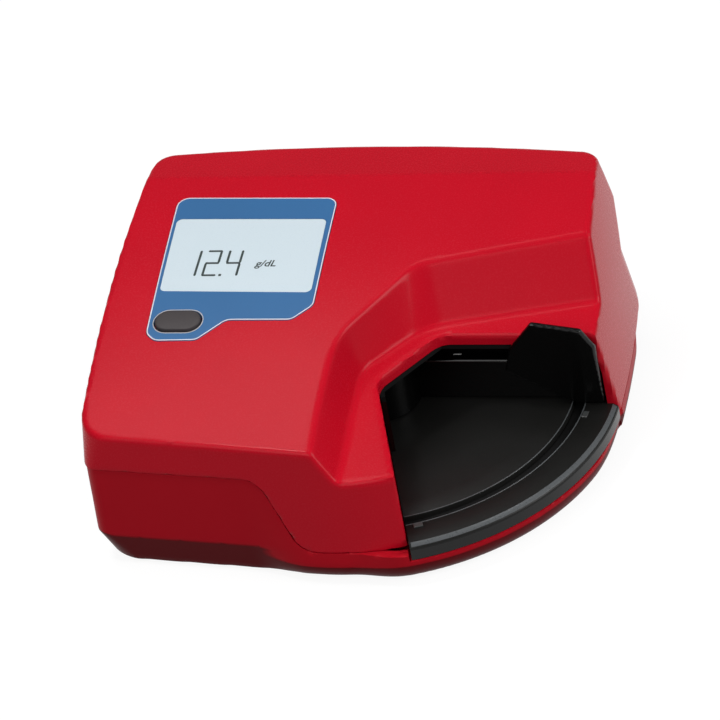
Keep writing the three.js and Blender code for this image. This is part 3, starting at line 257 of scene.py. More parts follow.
def roundedOutline(points, radius, steps=6):
    # the outline with an arc of this radius at each corner
    out = []
    for before, at, after in zip(points[-1:] + points[:-1], points, points[1:] + points[:1]):
        a, p, b = (np.array(q, float) for q in (before, at, after))
        u, v = (a - p) / np.linalg.norm(a - p), (b - p) / np.linalg.norm(b - p)
        half = math.acos(float(np.clip(u @ v, -1, 1))) / 2
        reach = min(radius / math.tan(half), 0.45 * min(np.linalg.norm(a - p), np.linalg.norm(b - p)))
        real = reach * math.tan(half)
        centre = p + (u + v) / np.linalg.norm(u + v) * real / math.sin(half)
        first, last = p + u * reach - centre, p + v * reach - centre
        for i in range(steps + 1):
            mixed = first * (1 - i / steps) + last * (i / steps)
            q = centre + mixed / np.linalg.norm(mixed) * real
            out.append((float(q[0]), float(q[1])))
    return out


# Surfaces of the case
case = {
    "reach": 69.7, "foot": 1.2, "lowParting": 10.5, "highParting": 32.0, "wall": 2.2,
    "crease": 1.2, "lipEdge": 0.9, "inner": 2.9, "spare": 0.06,
    "front": 65.8, "frontDraft": 0.13, "skew": 4.7, "frontEnd": -60, "pastFront": 200.0,
    "rightDraft": 0.11, "shoulder": 30.0, "shoulderRadius": 400.0, "rightBow": 470.0, "rightPlace": 3.0,
    "left": 73.9, "leftDraft": 0.05, "leftBow": 860.0, "leftPlace": 36.0,
    "back": 70.2, "backDraft": 0.32, "backBow": 460.0, "backPlace": -14.0,
    "reveal": 0.4, "frontUnder": -0.06, "leftUnder": -0.04, "backUnder": 0.4, "toeSlope": 0.16,
    "frontCorner": 3.5, "cornerGrow": 0.4, "cornerBelow": 0.7, "pillarEdge": 1.1, "jointEdge": 0.4,
    "backCorner": 20, "backShrink": 1.2, "backLeast": 5.0, "underCorner": 19.0, "footEdge": 0.7,
}
ledge = {"height": 32.5, "start": -60.0, "slope": 0.135, "rise": 26.0, "corner": 2.6, "sink": 1.2,
         "foot": [(6, -95), (2.7, -20), (18.3, -2.9), (95, 13.4)],
         "head": [(-18, -95), (-5.4, -22), (13.2, 12), (95, 34)]}
mouth = {"side": 0.3315, "offset": 0.11, "first": -23.8, "second": 22.4, "back": -5.6, "corner": 2.5,
         "lip": 3.5, "pillarX": 58, "pillarFoot": 1.8}
chamber = {"left": -14.2, "right": 64.6, "front": -17.0, "back": 20.0, "liner": 1.4, "gap": 0.3,
           "sideWall": 1.7}
# cosines that bring the field of a leaning wall back to millimetres
leaning = {"top": 0.985, "front": 0.99, "back": 0.95, "backUnder": 0.93, "overLedge": 0.88, "ledge": 0.99,
           "mouthSide": 0.95, "grip": 0.977}
topArch = {"front": -58.0, "back": 50.0, "edge": 42.5, "slope": 0.26, "backSlope": 0.10,
           "turn": 43.0, "fall": 0.09}


def topHeight(y):
    run = np.minimum(y, topArch["turn"]) - topArch["front"]
    bend = (topArch["slope"] - topArch["backSlope"]) / (2 * (topArch["back"] - topArch["front"]))
    arch = topArch["edge"] + topArch["slope"] * run - bend * run * run
    return arch - topArch["fall"] * np.maximum(y - topArch["turn"], 0)


def ledgeAt(y):
    return ledge["height"] + ledge["slope"] * (y - ledge["start"])


def topField(x, y, z):
    return (z - topHeight(y)) * leaning["top"]


def backDisc(x, y, reach):
    return np.hypot(x - case["backPlace"], y - reach + case["backBow"]) - case["backBow"]


def rightDisc(x, y, z):
    rise = np.maximum(z - case["shoulder"], 0)
    wallX = (case["reach"] - case["rightDraft"] * (z - case["lowParting"])
             - rise * rise / (2 * case["shoulderRadius"]))
    return np.hypot(x - wallX + case["rightBow"], y - case["rightPlace"]) - case["rightBow"]


def leftDisc(x, y, reach):
    return np.hypot(x - case["leftBow"] + reach, y - case["leftPlace"]) - case["leftBow"]


def frontLine(x, y, reach):
    # an arc round the arm's axis that runs out into a straight wall to the left
    turn = math.radians(-90 - case["skew"])
    along = -math.sin(turn) * x + math.cos(turn) * y
    straight = math.cos(turn) * x + math.sin(turn) * y
    return np.where(along < 0, straight, np.hypot(x, y)) - reach


def upperWalls(x, y, z):
    above = np.maximum(z - case["highParting"], 0)
    reach = case["front"] - case["frontDraft"] * (z - case["lowParting"])
    angle = np.degrees(np.arctan2(y, x))
    reach = np.where(angle > case["frontEnd"], case["pastFront"], reach)
    front = frontLine(x, y, reach) * leaning["front"]
    left = leftDisc(x, y, case["left"] - case["leftDraft"] * (z - case["highParting"]))
    back = backDisc(x, y, case["back"] - case["backDraft"] * (z - case["highParting"]))
    share = np.clip((z - case["lowParting"]) / (ledgeAt(mouth["back"]) - mouth["lip"]
                                                 - case["lowParting"]), 0, 1)
    foot = mouth["pillarFoot"]
    face = np.where(x > mouth["pillarX"], -(foot + (-mouth["back"] - foot) * share) - y, nowhere)
    walls = roundMax(front, left, case["frontCorner"] + case["cornerGrow"] * above)
    pillar = roundMax(rightDisc(x, y, z), face, case["pillarEdge"])
    walls = roundMax(walls, pillar, case["pillarEdge"])
    corner = np.maximum(case["backCorner"] - case["backShrink"] * above, case["backLeast"])
    return roundMax(walls, back * leaning["back"], corner)


def wallPlane(x, y, z, i):
    # one stretch of the sloping wall, ruled from foot to head; negative in the open space
    share = (z - ledgeAt(y)) / ledge["rise"]
    (ax, ay), (bx, by) = ledge["foot"][i:i + 2]
    (cx, cy), (dx, dy) = ledge["head"][i:i + 2]
    start = (ax + share * (cx - ax), ay + share * (cy - ay))
    end = (bx + share * (dx - bx), by + share * (dy - by))
    return lineField(x, y, start, end) * leaning["overLedge"]


def overLedge(x, y, z):
    walls = roundMax(wallPlane(x, y, z, 0), wallPlane(x, y, z, 1), ledge["corner"])
    walls = roundMax(walls, wallPlane(x, y, z, 2), ledge["corner"])
    return roundMax(walls, (ledgeAt(y) - z) * leaning["ledge"], ledge["sink"])


def mouthField(x, y):
    places = [(mouth["offset"] + mouth["side"] * beyond, -beyond),
              (mouth["offset"] - mouth["side"] * mouth["first"], mouth["first"]),
              (mouth["second"], mouth["back"]), (beyond, mouth["back"])]
    sides = [lineField(x, y, *pair) for pair in zip(places, places[1:])]
    return roundMax(roundMax(sides[0], sides[1], mouth["corner"]), sides[2], mouth["corner"])


def chamberField(x, y, z, grow):
    sideX = mouth["offset"] - mouth["side"] * y
    wide = np.maximum(chamber["left"] - grow - x, chamber["front"] - grow - y)
    plan = np.minimum((sideX - x) * leaning["mouthSide"], wide)
    drop = mouth["lip"] + chamber["liner"] + chamber["gap"] - grow
    ceiling = np.where(y < mouth["back"], ledgeAt(y), ledgeAt(mouth["back"])) - drop
    return np.maximum.reduce([plan, y - chamber["back"] - grow, x - chamber["right"] - grow,
                              (z - ceiling) * leaning["ledge"]])


# the joint's step: where it starts on the front and on the right, and the slope between its heights
joint = {"frontX": -18.5, "sideY": 62, "rise": 21.5, "run": 10, "length": 23.71, "corner": 4}


def jointField(x, y, z, raised):
    # what lies under the joint of the shells; its steps have rounded corners
    low, high = case["lowParting"] + raised, case["highParting"] + raised

    def step(out):
        slope = (out * joint["rise"] + (z - high) * joint["run"]) / joint["length"]
        return roundMin(z - low, roundMax(z - high, slope, joint["corner"]), joint["corner"])

    return np.minimum(step(x - joint["frontX"] - raised), step(joint["sideY"] - raised - y))


# the keypad; a zone is its right, front and back limit, and its lowest height where it has one
panel = {"outline": [(-59.9, 33.9), (-11.9, 33.0), (-10.4, -10.2), (-15.7, -15.6),
                     (-34.4, -15.6), (-41.7, -23), (-53.8, -23.2), (-56.8, -20.6)],
         "window": [(-58.2, 24.8), (-13.4, 24.1), (-12.1, -5.3), (-56.6, -4.5)],
         "corner": 3.4, "paneCorner": 1.7, "depth": 1.5, "gap": 0.15, "film": 1.4, "windowLedge": 1.6,
         "pad": 3.6, "padZone": (-7, -27, 38), "nearZone": (-5, -30, 40, 38)}
# the middle of the display, where the frame on the sloping top starts
stack = {"x": -35.2, "y": 5.0}
button = {"x": -13.2, "y": -21.4, "length": 13.2, "width": 7.4}
slopeChange = (topArch["slope"] - topArch["backSlope"]) / (topArch["back"] - topArch["front"])
tilt = math.atan(topArch["slope"] - slopeChange * (stack["y"] - topArch["front"]))
stackTop = float(topHeight(stack["y"]))


def toStack(x, y, z):
    # into the frame that lies on the sloping top
    dy, dz = y - stack["y"], z - stackTop
    return (x - stack["x"], dy * math.cos(tilt) + dz * math.sin(tilt),
            dz * math.cos(tilt) - dy * math.sin(tilt))


def buttonField(x, y, z, grow):
    u, v, _ = toStack(x, y, z)
    half = (button["length"] - button["width"]) / 2
    aside = np.maximum(np.abs(u - button["x"]) - half, 0)
    return np.hypot(aside, v - button["y"]) - button["width"] / 2 - grow


screws = [(-58, 50), (50, 46), (2.5, -50)]
boss = {"radius": 3.4, "pilot": 1.25, "under": 0.6, "through": 1.7, "head": 2.9, "headDepth": 3.0}
panelOutline = roundedOutline(panel["outline"], panel["corner"])
windowOutline = roundedOutline(panel["window"], panel["paneCorner"])


def upperOuter(x, y, z):
    top = topField(x, y, z) + case["spare"] / 2
    body = roundMax(upperWalls(x, y, z), top, case["crease"]) + case["spare"]
    return roundMax(body, -overLedge(x, y, z), case["crease"])


def upperShell(x, y, z):
    outer = upperOuter(x, y, z)
    lip = mouthField(x, y)
    body = roundMax(outer, -lip, case["lipEdge"])
    hollow = np.maximum(outer, -lip) + case["inner"]
    right, front, back = panel["padZone"]
    padded = (x < right) & (y > front) & (y < back)
    hollow = np.where(padded, np.maximum(hollow, topField(x, y, z) + panel["pad"]), hollow)
    shell = np.maximum(body, -hollow)
    for at in screws:
        away = np.hypot(x - at[0], y - at[1])
        tube = np.maximum(away - boss["radius"], outer + case["inner"] - boss["under"])
        tube = np.maximum(tube, -np.maximum(away - boss["pilot"], z - topHeight(at[1]) + 2 * case["wall"]))
        shell = np.minimum(shell, tube)
    cut = chamberField(x, y, z, chamber["liner"] + chamber["gap"])
    cut = np.maximum(cut, rightDisc(x, y, z) + chamber["sideWall"])
    shell = np.maximum(shell, -cut)
    shell = roundMax(shell, -jointField(x, y, z, chamber["gap"]), case["jointEdge"])
    right, front, back, low = panel["nearZone"]
    near = (x < right) & (y > front) & (y < back) & (z > low)
    u, v, w = x[near], y[near], z[near]
    recess = np.maximum(outlineField(panelOutline, u, v) - panel["gap"],
                        -topField(u, v, w) - panel["depth"])
    part = np.maximum(shell[near], -recess)
    part = np.maximum(part, -outlineField(windowOutline, u, v) - panel["windowLedge"])
    shell[near] = np.maximum(part, -buttonField(u, v, w, panel["gap"]))
    return shell


# the band that swells out round the tray; its ends are angles round the arm's axis
band = {"height": 7.5, "rounding": 4.8, "swell": (-86, -72), "start": (-111, -96), "end": (37, 43),
        "corner": 3.0}


def lowerWalls(x, y, z):
    under = np.maximum(case["highParting"] - z, 0)
    toe = case["toeSlope"] * np.maximum(case["lowParting"] - z, 0)
    top = case["front"] - case["frontDraft"] * (case["highParting"] - case["lowParting"]) - case["reveal"]
    angle = np.degrees(np.arctan2(y, x))
    reach = np.where(angle > case["frontEnd"], case["pastFront"], top - case["frontUnder"] * under - toe)
    front = frontLine(x, y, reach)
    left = leftDisc(x, y, case["left"] - case["reveal"] - case["leftUnder"] * under - toe)
    back = backDisc(x, y, case["back"] - case["reveal"] - case["backUnder"] * under) + toe
    right = rightDisc(x, y, z) + toe
    corner = case["frontCorner"] + case["cornerBelow"] * np.maximum(case["lowParting"] - z, 0)
    walls = roundMax(front, left, corner)
    walls = roundMax(walls, right, case["underCorner"])
    walls = roundMax(walls, back * leaning["backUnder"], case["underCorner"])
    low = np.clip((band["height"] - z) / (band["height"] - case["foot"]), 0, 0.995)
    rounding = band["rounding"] * (1 - np.sqrt(1 - low * low))
    sweep = case["front"] - case["frontDraft"] * (z - case["lowParting"])
    reach = sweep + (case["reach"] - sweep) * blend(*band["swell"], angle) - rounding
    swollen = np.where(angle > 0, nowhere, frontLine(x, y, reach))
    side = rightDisc(x, y, np.full_like(z, case["lowParting"])) + rounding
    swollen = roundMax(swollen, side, band["corner"])
    swollen = roundMax(swollen, back * leaning["backUnder"], case["underCorner"])
    share = blend(*band["start"], angle) * (1 - blend(*band["end"], angle))
    return walls + (swollen - walls) * share + case["spare"]


bay = {"x": (-64.4, -10.4), "y": (-51.5, -20.2), "ceiling": 34.6, "wall": 1.6, "door": 3.2, "rim": 0.8,
       "gap": 0.3}
inlet = {"x": -30.0, "z": 20.0, "face": 50.4, "cup": 8.6, "cupFace": 0.3, "recess": 7, "depth": 1.9,
         "bore": 3.8, "boreAt": 2, "boreReach": 3, "edge": 0.5}
feet = [(-46, 46), (38, 44), (-57, -10), (30, -46)]
footPocket = {"radius": 5.3, "depth": 0.8}
pivot = {"post": 8.0, "postTop": 11.2, "bore": 4.3, "head": 8.0, "headFloor": 21.7}
lightPath = {"at": (36, 10.5), "radius": 2.0}
trayCut = {"left": -71.7, "right": 1.2, "middle": 36, "half": 80, "gap": 0.3}
skirtFoot = 8.7


def lowerShell(x, y, z):
    walls = lowerWalls(x, y, z)
    outer = roundMax(walls, case["foot"] - z, case["footEdge"])
    outer = roundMax(outer, jointField(x, y, z, 0.0), case["jointEdge"])
    inner = np.maximum(walls + case["inner"], case["foot"] + case["inner"] - z)
    (left, right), (front, back) = bay["x"], bay["y"]
    wall, rim = bay["wall"], bay["rim"]
    bayOuter = blockField(x, y, z, (left - wall, right + wall), (front - wall, back + wall),
                          (below, bay["ceiling"] + wall))
    shell = np.maximum(outer, -np.maximum(inner, -bayOuter))
    upperInner = upperOuter(x, y, z) + case["wall"] + chamber["gap"]
    overlap = case["highParting"] - case["wall"] - z
    shell = np.minimum(shell, np.maximum.reduce([bayOuter, upperInner, overlap]))
    for at in screws:
        shell = np.minimum(shell, discField(x, y, z, boss["radius"], case["foot"], case["lowParting"], at))
    cup = blockField(x, y, z, (inlet["x"] - inlet["cup"], inlet["x"] + inlet["cup"]),
                     (inlet["face"] + inlet["cupFace"], beyond),
                     (inlet["z"] - inlet["cup"], inlet["z"] + inlet["cup"]))
    shell = np.minimum(shell, np.maximum(cup, outer))
    shell = np.minimum(shell, discField(x, y, z, pivot["post"], case["foot"], pivot["postTop"]))
    r, angle = np.hypot(x, y), np.degrees(np.arctan2(y, x))
    trayRoom = np.maximum.reduce([r * np.sin(np.radians(trayCut["left"] - angle)),
                                  r * np.sin(np.radians(angle + trayCut["right"])),
                                  skirtFoot - trayCut["gap"] - z,
                                  np.abs(angle + trayCut["middle"]) - trayCut["half"]])
    shell = roundMax(shell, -trayRoom, case["jointEdge"])
    shell = np.maximum(shell, -blockField(x, y, z, bay["x"], bay["y"], (below, bay["ceiling"])))
    door = blockField(x, y, z, (-beyond, right + rim), (front - rim, back + rim),
                      (below, bay["door"] + bay["gap"]))
    shell = np.maximum(shell, -door)
    recess = blockField(x, y, z, (inlet["x"] - inlet["recess"], inlet["x"] + inlet["recess"]),
                        (inlet["face"] + inlet["depth"], beyond),
                        (inlet["z"] - inlet["recess"], inlet["z"] + inlet["recess"]))
    shell = roundMax(shell, -recess, inlet["edge"])
    hole = np.maximum(np.hypot(x - inlet["x"], z - inlet["z"]) - inlet["bore"],
                      np.abs(y - inlet["face"] - inlet["boreAt"]) - inlet["boreReach"])
    shell = np.maximum(shell, -hole)
    for at in screws:
        shell = np.maximum(shell, -discField(x, y, z, boss["through"], below, beyond, at))
        headFloor = case["foot"] + boss["headDepth"]
        shell = np.maximum(shell, -discField(x, y, z, boss["head"], below, headFloor, at))
    for at in feet:
        pocket = discField(x, y, z, footPocket["radius"], below, case["foot"] + footPocket["depth"], at)
        shell = np.maximum(shell, -pocket)
    return shell


tray = {"floor": 13.5, "thickness": 2.0, "radius": 69.4, "skirt": 2.2, "groove": (56.6, 59.8),
        "depth": 1.55, "seam": 50.0, "ringStart": 17.0, "front": -2.1, "overlap": 0.1, "left": 20}


def trayField(x, y, z):
    # the floor inside the chamber and up to the ring that carries the groove
    r = np.hypot(x, y)
    angle = np.degrees(np.arctan2(y, x))
    body = np.maximum.reduce([z - tray["floor"], tray["floor"] - tray["thickness"] - z])
    sideX = mouth["offset"] - mouth["side"] * y + chamber["gap"]
    liner, front = chamber["liner"], tray["front"]
    outside = np.maximum.reduce([(sideX - x) * leaning["mouthSide"], r - tray["seam"], y - front])
    inside = np.maximum.reduce([chamber["left"] - liner - x, x - chamber["right"] - liner,
                                front - tray["overlap"] - y, y - chamber["back"] - liner])
    ring = -np.minimum(tray["seam"] - r, tray["ringStart"] - angle)
    inside = np.maximum(inside, np.where(r > tray["seam"], ring, nowhere))
    left = np.maximum.reduce([chamber["left"] - liner - x, x - tray["left"],
                              chamber["front"] - liner - y, y - front])
    body = np.maximum(body, np.minimum(np.minimum(outside, inside), left))
    body = np.maximum(body, -discField(x, y, z, pivot["bore"], below, beyond))
    return np.maximum(body, -discField(x, y, z, lightPath["radius"], below, beyond, lightPath["at"]))


arm = {"low": 13.8, "top": 26.5, "radius": 61.5, "front": 0.3, "back": 18.2, "hub": 12.4, "wall": 1.8,
       "gripFront": -2.6, "lean": 0.22, "thick": 1.6, "edge": 0.6, "gripEdge": 0.7,
       "gripCorner": 1.0,
       "grip": [(57.5, 13.8), (65.6, 13.8), (66.1, 32), (66.3, 36.8), (65.6, 38.2), (63.1, 43.4),
                (49.6, 46.2), (42, 36), (39.4, 27)],
       "holder": (17.0, 56.0, 4.6, 16.4), "holderGap": 0.3, "pocket": 5.9}
peg = {"at": (57.6, 8.1), "radius": 1.2, "low": 12.8, "high": 19.7}  # runs in the tray's groove


def armField(x, y, z):
    r = np.hypot(x, y)
    beam = np.maximum.reduce([r - arm["radius"], arm["front"] - y, y - arm["back"], arm["low"] - z, -x])
    beam = roundMax(beam, z - arm["top"], arm["edge"])
    hollow = np.maximum.reduce([r - arm["radius"] + arm["wall"], arm["front"] + arm["wall"] - y,
                                y - arm["back"] + arm["wall"], arm["hub"] + arm["wall"] - x,
                                z - arm["top"] + arm["pocket"] + arm["wall"]])
    beam = np.maximum(beam, -hollow)
    hub = roundMax(np.maximum(r - arm["hub"], arm["low"] - z), z - arm["top"], arm["edge"])
    body = np.minimum(beam, hub)
    front = arm["gripFront"] - arm["lean"] * (z - tray["floor"])
    slab = np.maximum((front - y) * leaning["grip"], (y - front - arm["thick"]) * leaning["grip"])
    foot = np.maximum.reduce([(front - y) * leaning["grip"], y - arm["front"] - arm["wall"],
                              z - arm["top"]])
    plan = outlineField(gripOutline, x, z)
    plate = roundMax(np.minimum(slab, foot), plan, arm["gripEdge"])
    plate = np.maximum(plate, arm["low"] - z)
    body = np.minimum(body, plate)
    body = np.maximum(body, -discField(x, y, z, pivot["bore"], below, beyond))
    body = np.maximum(body, -discField(x, y, z, pivot["head"], pivot["headFloor"], beyond))
    left, right, front, back = arm["holder"]
    gap = arm["holderGap"]
    room = blockField(x, y, z, (left - gap, right + gap), (front - gap, back + gap),
                      (arm["top"] - arm["pocket"], beyond))
    body = np.maximum(body, -room)
    body = np.minimum(body, discField(x, y, z, peg["radius"], peg["low"], peg["high"], peg["at"]))
    return np.maximum(body, -discField(x, y, z, lightPath["radius"], below, beyond, lightPath["at"]))


gripOutline = roundedOutline(arm["grip"], arm["gripCorner"], 4)


# A body's surface from its field, one vertex in each cell that the surface crosses

meshing = {"offGrid": 1.37, "slopeStep": 0.03, "searches": 5, "pull": 0.04, "reach": 0.62}


def fieldNormals(field, points):
    step = meshing["slopeStep"]
    out = np.empty_like(points)
    for axis in range(3):
        ahead, behind = points.copy(), points.copy()
        ahead[:, axis] += step
        behind[:, axis] -= step
        out[:, axis] = field(*ahead.T) - field(*behind.T)
    return out / np.maximum(np.linalg.norm(out, axis=1), 1e-9)[:, None]


def surfaceOf(field, low, high, cell):
    low = np.array(low, float) - meshing["offGrid"] * cell
    count = np.ceil((np.array(high, float) - low) / cell).astype(int) + 3
    axes = [low[i] + cell * np.arange(count[i]) for i in range(3)]
    grid = np.meshgrid(*axes, indexing="ij")
    value = field(*[g.ravel() for g in grid]).reshape(count)
    cells = count - 1
    total = int(np.prod(cells))

    def number(i, j, k):
        return (i * cells[1] + j) * cells[2] + k

    sums = np.zeros((total, 13))
    quads = []
    for axis in range(3):
        first = [slice(None)] * 3
        second = [slice(None)] * 3
        first[axis], second[axis] = slice(0, -1), slice(1, None)
        a, b = value[tuple(first)], value[tuple(second)]
        index = np.argwhere((a < 0) != (b < 0))
        va, vb = a[tuple(index.T)], b[tuple(index.T)]
        # where each grid edge along this axis meets the surface
        start = low + cell * index
        t0, t1 = np.zeros(len(index)), np.ones(len(index))
        for _ in range(meshing["searches"]):
            least = 0.02 * (t1 - t0)
            t = np.clip(t0 - va * (t1 - t0) / (vb - va), t0 + least, t1 - least)
            point = start.copy()
            point[:, axis] += cell * t
            v = field(*point.T)
            same = (v < 0) == (va < 0)
            t0, va = np.where(same, t, t0), np.where(same, v, va)
            t1, vb = np.where(same, t1, t), np.where(same, vb, v)
        t = t0 - va * (t1 - t0) / (vb - va)
        point = start.copy()
        point[:, axis] += cell * t
        normal = fieldNormals(field, point)
        # the surface's plane there counts for the four cells round the edge
        u, v = (axis + 1) % 3, (axis + 2) % 3
        around = []
        for du, dv in ((-1, -1), (0, -1), (0, 0), (-1, 0)):
            at = index.copy()
            at[:, u] += du
            at[:, v] += dv
            name = number(at[:, 0], at[:, 1], at[:, 2])
            around.append(name)
            q = point - (low + cell * (at + 0.5))
            d = np.einsum("ij,ij->i", normal, q)
            nx, ny, nz = normal.T
            rows = np.column_stack([nx ** 2, nx * ny, nx * nz, ny ** 2, ny * nz, nz ** 2,
                                    normal * d[:, None], q, np.ones(len(q))])
            for column in range(13):
                sums[:, column] += np.bincount(name, rows[:, column], total)
        quad = np.column_stack(around)
        inside = value[tuple(first)][tuple(index.T)] < 0
        quad[~inside] = quad[~inside][:, ::-1]
        quads.append(quad)
    quads = np.concatenate(quads)
    # the vertex nearest to all planes of its cell, kept near the middle of its crossings
    used = np.flatnonzero(sums[:, 12] > 0)
    s = sums[used]
    mean = s[:, 9:12] / s[:, 12:13]
    square = np.empty((len(used), 3, 3))
    for column, (i, j) in enumerate(((0, 0), (0, 1), (0, 2), (1, 1), (1, 2), (2, 2))):
        square[:, i, j] = square[:, j, i] = s[:, column]
    square += meshing["pull"] * np.eye(3)
    offset = np.linalg.solve(square, (s[:, 6:9] + meshing["pull"] * mean)[..., None])[..., 0]
    offset = np.clip(offset, -meshing["reach"] * cell, meshing["reach"] * cell)
    centre = low + cell * (np.column_stack(np.unravel_index(used, cells)) + 0.5)
    renumber = np.full(total, -1)
    renumber[used] = np.arange(len(used))
    return centre + offset, renumber[quads]


def newPiece(name, points, faces, slot, body="case", smooth=38):
    # a finished mesh object from millimetres round the arm's axis
    mesh = bpy.data.meshes.new(name)
    place = (np.asarray(points, float) + (shift["x"], shift["y"], 0)) * mm
    if isinstance(faces, np.ndarray):
        mesh.vertices.add(len(place))
        mesh.vertices.foreach_set("co", place.ravel())
        mesh.loops.add(faces.size)
        mesh.loops.foreach_set("vertex_index", faces.ravel().astype(np.int32))
        mesh.polygons.add(len(faces))
        mesh.polygons.foreach_set("loop_start", np.arange(len(faces), dtype=np.int32) * faces.shape[1])
        mesh.update(calc_edges=True)
        mesh.validate()
    else:
        mesh.from_pydata([tuple(p) for p in place], [], [tuple(f) for f in faces])
    for polygon in mesh.polygons:
        polygon.use_smooth = True
    mesh.set_sharp_from_angle(angle=math.radians(smooth))
    mesh.materials.append(materials[slot])
    piece = bpy.data.objects.new(name, mesh)
    bpy.context.scene.collection.objects.link(piece)
    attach(piece, body)
    return piece


cellScale = 1.0


def bodyPiece(name, field, low, high, cell, slot, node, body="case"):
    points, faces = surfaceOf(field, low, high, cell * cellScale)
    piece = newPiece(name, points, faces, slot, body)
    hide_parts(node)
    print("body made", name, len(faces))


bodyPiece("upper_shell", upperShell, (-74, -66, 10), (70, 71, 62), 1.0, "red_case", "upper_housing")
bodyPiece("lower_shell", lowerShell, (-74, -68, 1), (71, 71, 37), 1.0, "red_base", "lower_housing")
bodyPiece("tray_moulding", trayField, (-16, -53, 11), (70, 22, 14), 0.8, "black_tray", "tray")
bodyPiece("arm_moulding", armField, (-13, -11, 12), (67, 19, 47), 0.5, "black_gloss", "swing_arm", "arm")


# Plates that lie along the sloping top, cut into strips so that they follow its arch

strips = {"from": -30.0, "to": 40.0, "width": 3.0, "weld": 0.0005}


def topPlate(name, outlines, offset, thickness, slot):
    rings = [[Vector((x, y, 0)) for x, y in ring] for ring in outlines]
    flat = [v for ring in rings for v in ring]
    bm = bmesh.new()
    verts = [bm.verts.new(v) for v in flat]
    for tri in tessellate_polygon(rings):
        bm.faces.new([verts[i] for i in tri])
    for y in np.arange(strips["from"], strips["to"], strips["width"]):
        geometry = bm.verts[:] + bm.edges[:] + bm.faces[:]
        bmesh.ops.bisect_plane(bm, geom=geometry, plane_co=(0, y, 0), plane_no=(0, 1, 0))
    made = bmesh.ops.extrude_face_region(bm, geom=bm.faces[:])
    lowered = {v for v in made["geom"] if isinstance(v, bmesh.types.BMVert)}
    for v in bm.verts:
        v.co.z = float(topHeight(v.co.y)) + offset - (thickness if v in lowered else 0.0)
    bmesh.ops.remove_doubles(bm, verts=bm.verts[:], dist=strips["weld"])
    bmesh.ops.recalc_face_normals(bm, faces=bm.faces[:])
    bm.verts.index_update()
    points = [tuple(v.co) for v in bm.verts]
    faces = [[v.index for v in f.verts] for f in bm.faces]
    bm.free()
    return newPiece(name, points, faces, slot, smooth=30)


def inset(points, distance):
    # the outline moved inwards along its corners
    out = []
    area = sum(a[0] * b[1] - b[0] * a[1] for a, b in zip(points, points[1:] + points[:1]))
    side = 1 if area > 0 else -1
    for before, at, after in zip(points[-1:] + points[:-1], points, points[1:] + points[:1]):
        d = np.array(after) - np.array(before)
        normal = np.array((-d[1], d[0])) / np.linalg.norm(d) * side
        out.append(tuple(np.array(at) + normal * distance))
    return out


def stadium(grow, steps=14):
    # the button's outline in plan, in the case's own frame
    half, radius = (button["length"] - button["width"]) / 2, button["width"] / 2 + grow
    out = []
    for centre, start in ((half, -90), (-half, 90)):
        for i in range(steps + 1):
            turn = math.radians(start + 180 * i / steps)
            out.append((centre + radius * math.cos(turn), radius * math.sin(turn)))
    return out


def fromStack(u, v, w):
    y = stack["y"] + v * math.cos(tilt) - w * math.sin(tilt)
    return u + stack["x"], y, stackTop + v * math.sin(tilt) + w * math.cos(tilt)


def onTop(points):
    return [fromStack(button["x"] + u, button["y"] + v, 0.0)[:2] for u, v in points]


film = {"rise": 0.05, "gap": 0.02, "windowGap": -0.01, "buttonGap": 0.45, "edgeFrom": 0.03, "edgeTo": 0.36,
        "lineRise": 0.09, "lineDepth": 0.08, "ringOuter": 0.75, "ringInner": 0.5, "paneRise": -0.05,
        "paneDepth": 1.3}
printed = topPlate("keypad_film_print", [inset(panelOutline, film["gap"]),
                                         inset(windowOutline, film["windowGap"])[::-1],
                                         onTop(stadium(film["buttonGap"]))[::-1]],
                   film["rise"], panel["film"], "blue_film")
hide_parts("keypad_film")
# a pale thin line round the film: painted highlight on its edge
topPlate("keypad_film_edge",
         [inset(panelOutline, film["edgeFrom"]), inset(panelOutline, film["edgeTo"])[::-1]],
         film["lineRise"], film["lineDepth"], "film_edge")
topPlate("button_surround", [onTop(stadium(film["ringOuter"])), onTop(stadium(film["ringInner"]))[::-1]],
         film["lineRise"], film["lineDepth"], "button_ring")
pane = topPlate("display_pane", [inset(windowOutline, film["edgeFrom"])], film["paneRise"], film["paneDepth"],
                "lcd_pane")
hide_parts("display_window")
print("film and pane made")

# Figures on the display: bars of a seven-segment row, and the unit
figures = {"low": 1.3, "high": 11.6, "stroke": 0.7, "gap": 0.12, "rise": -0.02, "depth": 0.06,
           "cut": 0.35, "point": (-40.6, -39.8, 1.3, 2.1),
           "digits": [(-48.6, -47.3, "r"), (-45.7, -41.3, "tumlb"), (-39.5, -35.0, "LumR")]}


def segmentBars(left, right, parts):
    # t top, m middle, b bottom, L upper left, l lower left, u upper right, R lower right, r the whole right
    low, high, s, g = (figures[k] for k in ("low", "high", "stroke", "gap"))
    middle = (low + high) / 2
    bars = {"t": (left + g, right - g, high - s, high),
            "m": (left + g, right - g, middle - s / 2, middle + s / 2),
            "b": (left + g, right - g, low, low + s), "L": (left, left + s, middle + g, high - g),
            "l": (left, left + s, low + g, middle - g), "u": (right - s, right, middle + g, high - g),
            "R": (right - s, right, low + g, middle - g), "r": (right - s, right, low + g, high - g)}
    return [bars[part] for part in parts]


number = 0
for left, right, parts in figures["digits"]:
    for x0, x1, y0, y1 in segmentBars(left, right, parts):
        number += 1
        cut = min(x1 - x0, y1 - y0) * figures["cut"]
        corners = [(x0 + cut, y0), (x1 - cut, y0), (x1, y0 + cut), (x1, y1 - cut), (x1 - cut, y1),
                   (x0 + cut, y1), (x0, y1 - cut), (x0, y0 + cut)]
        topPlate(f"figure_bar_{number}", [corners], figures["rise"], figures["depth"], "lcd_ink")
x0, x1, y0, y1 = figures["point"]
topPlate("figure_point", [[(x0, y0), (x1, y0), (x1, y1), (x0, y1)]], figures["rise"], figures["depth"],
         "lcd_ink")

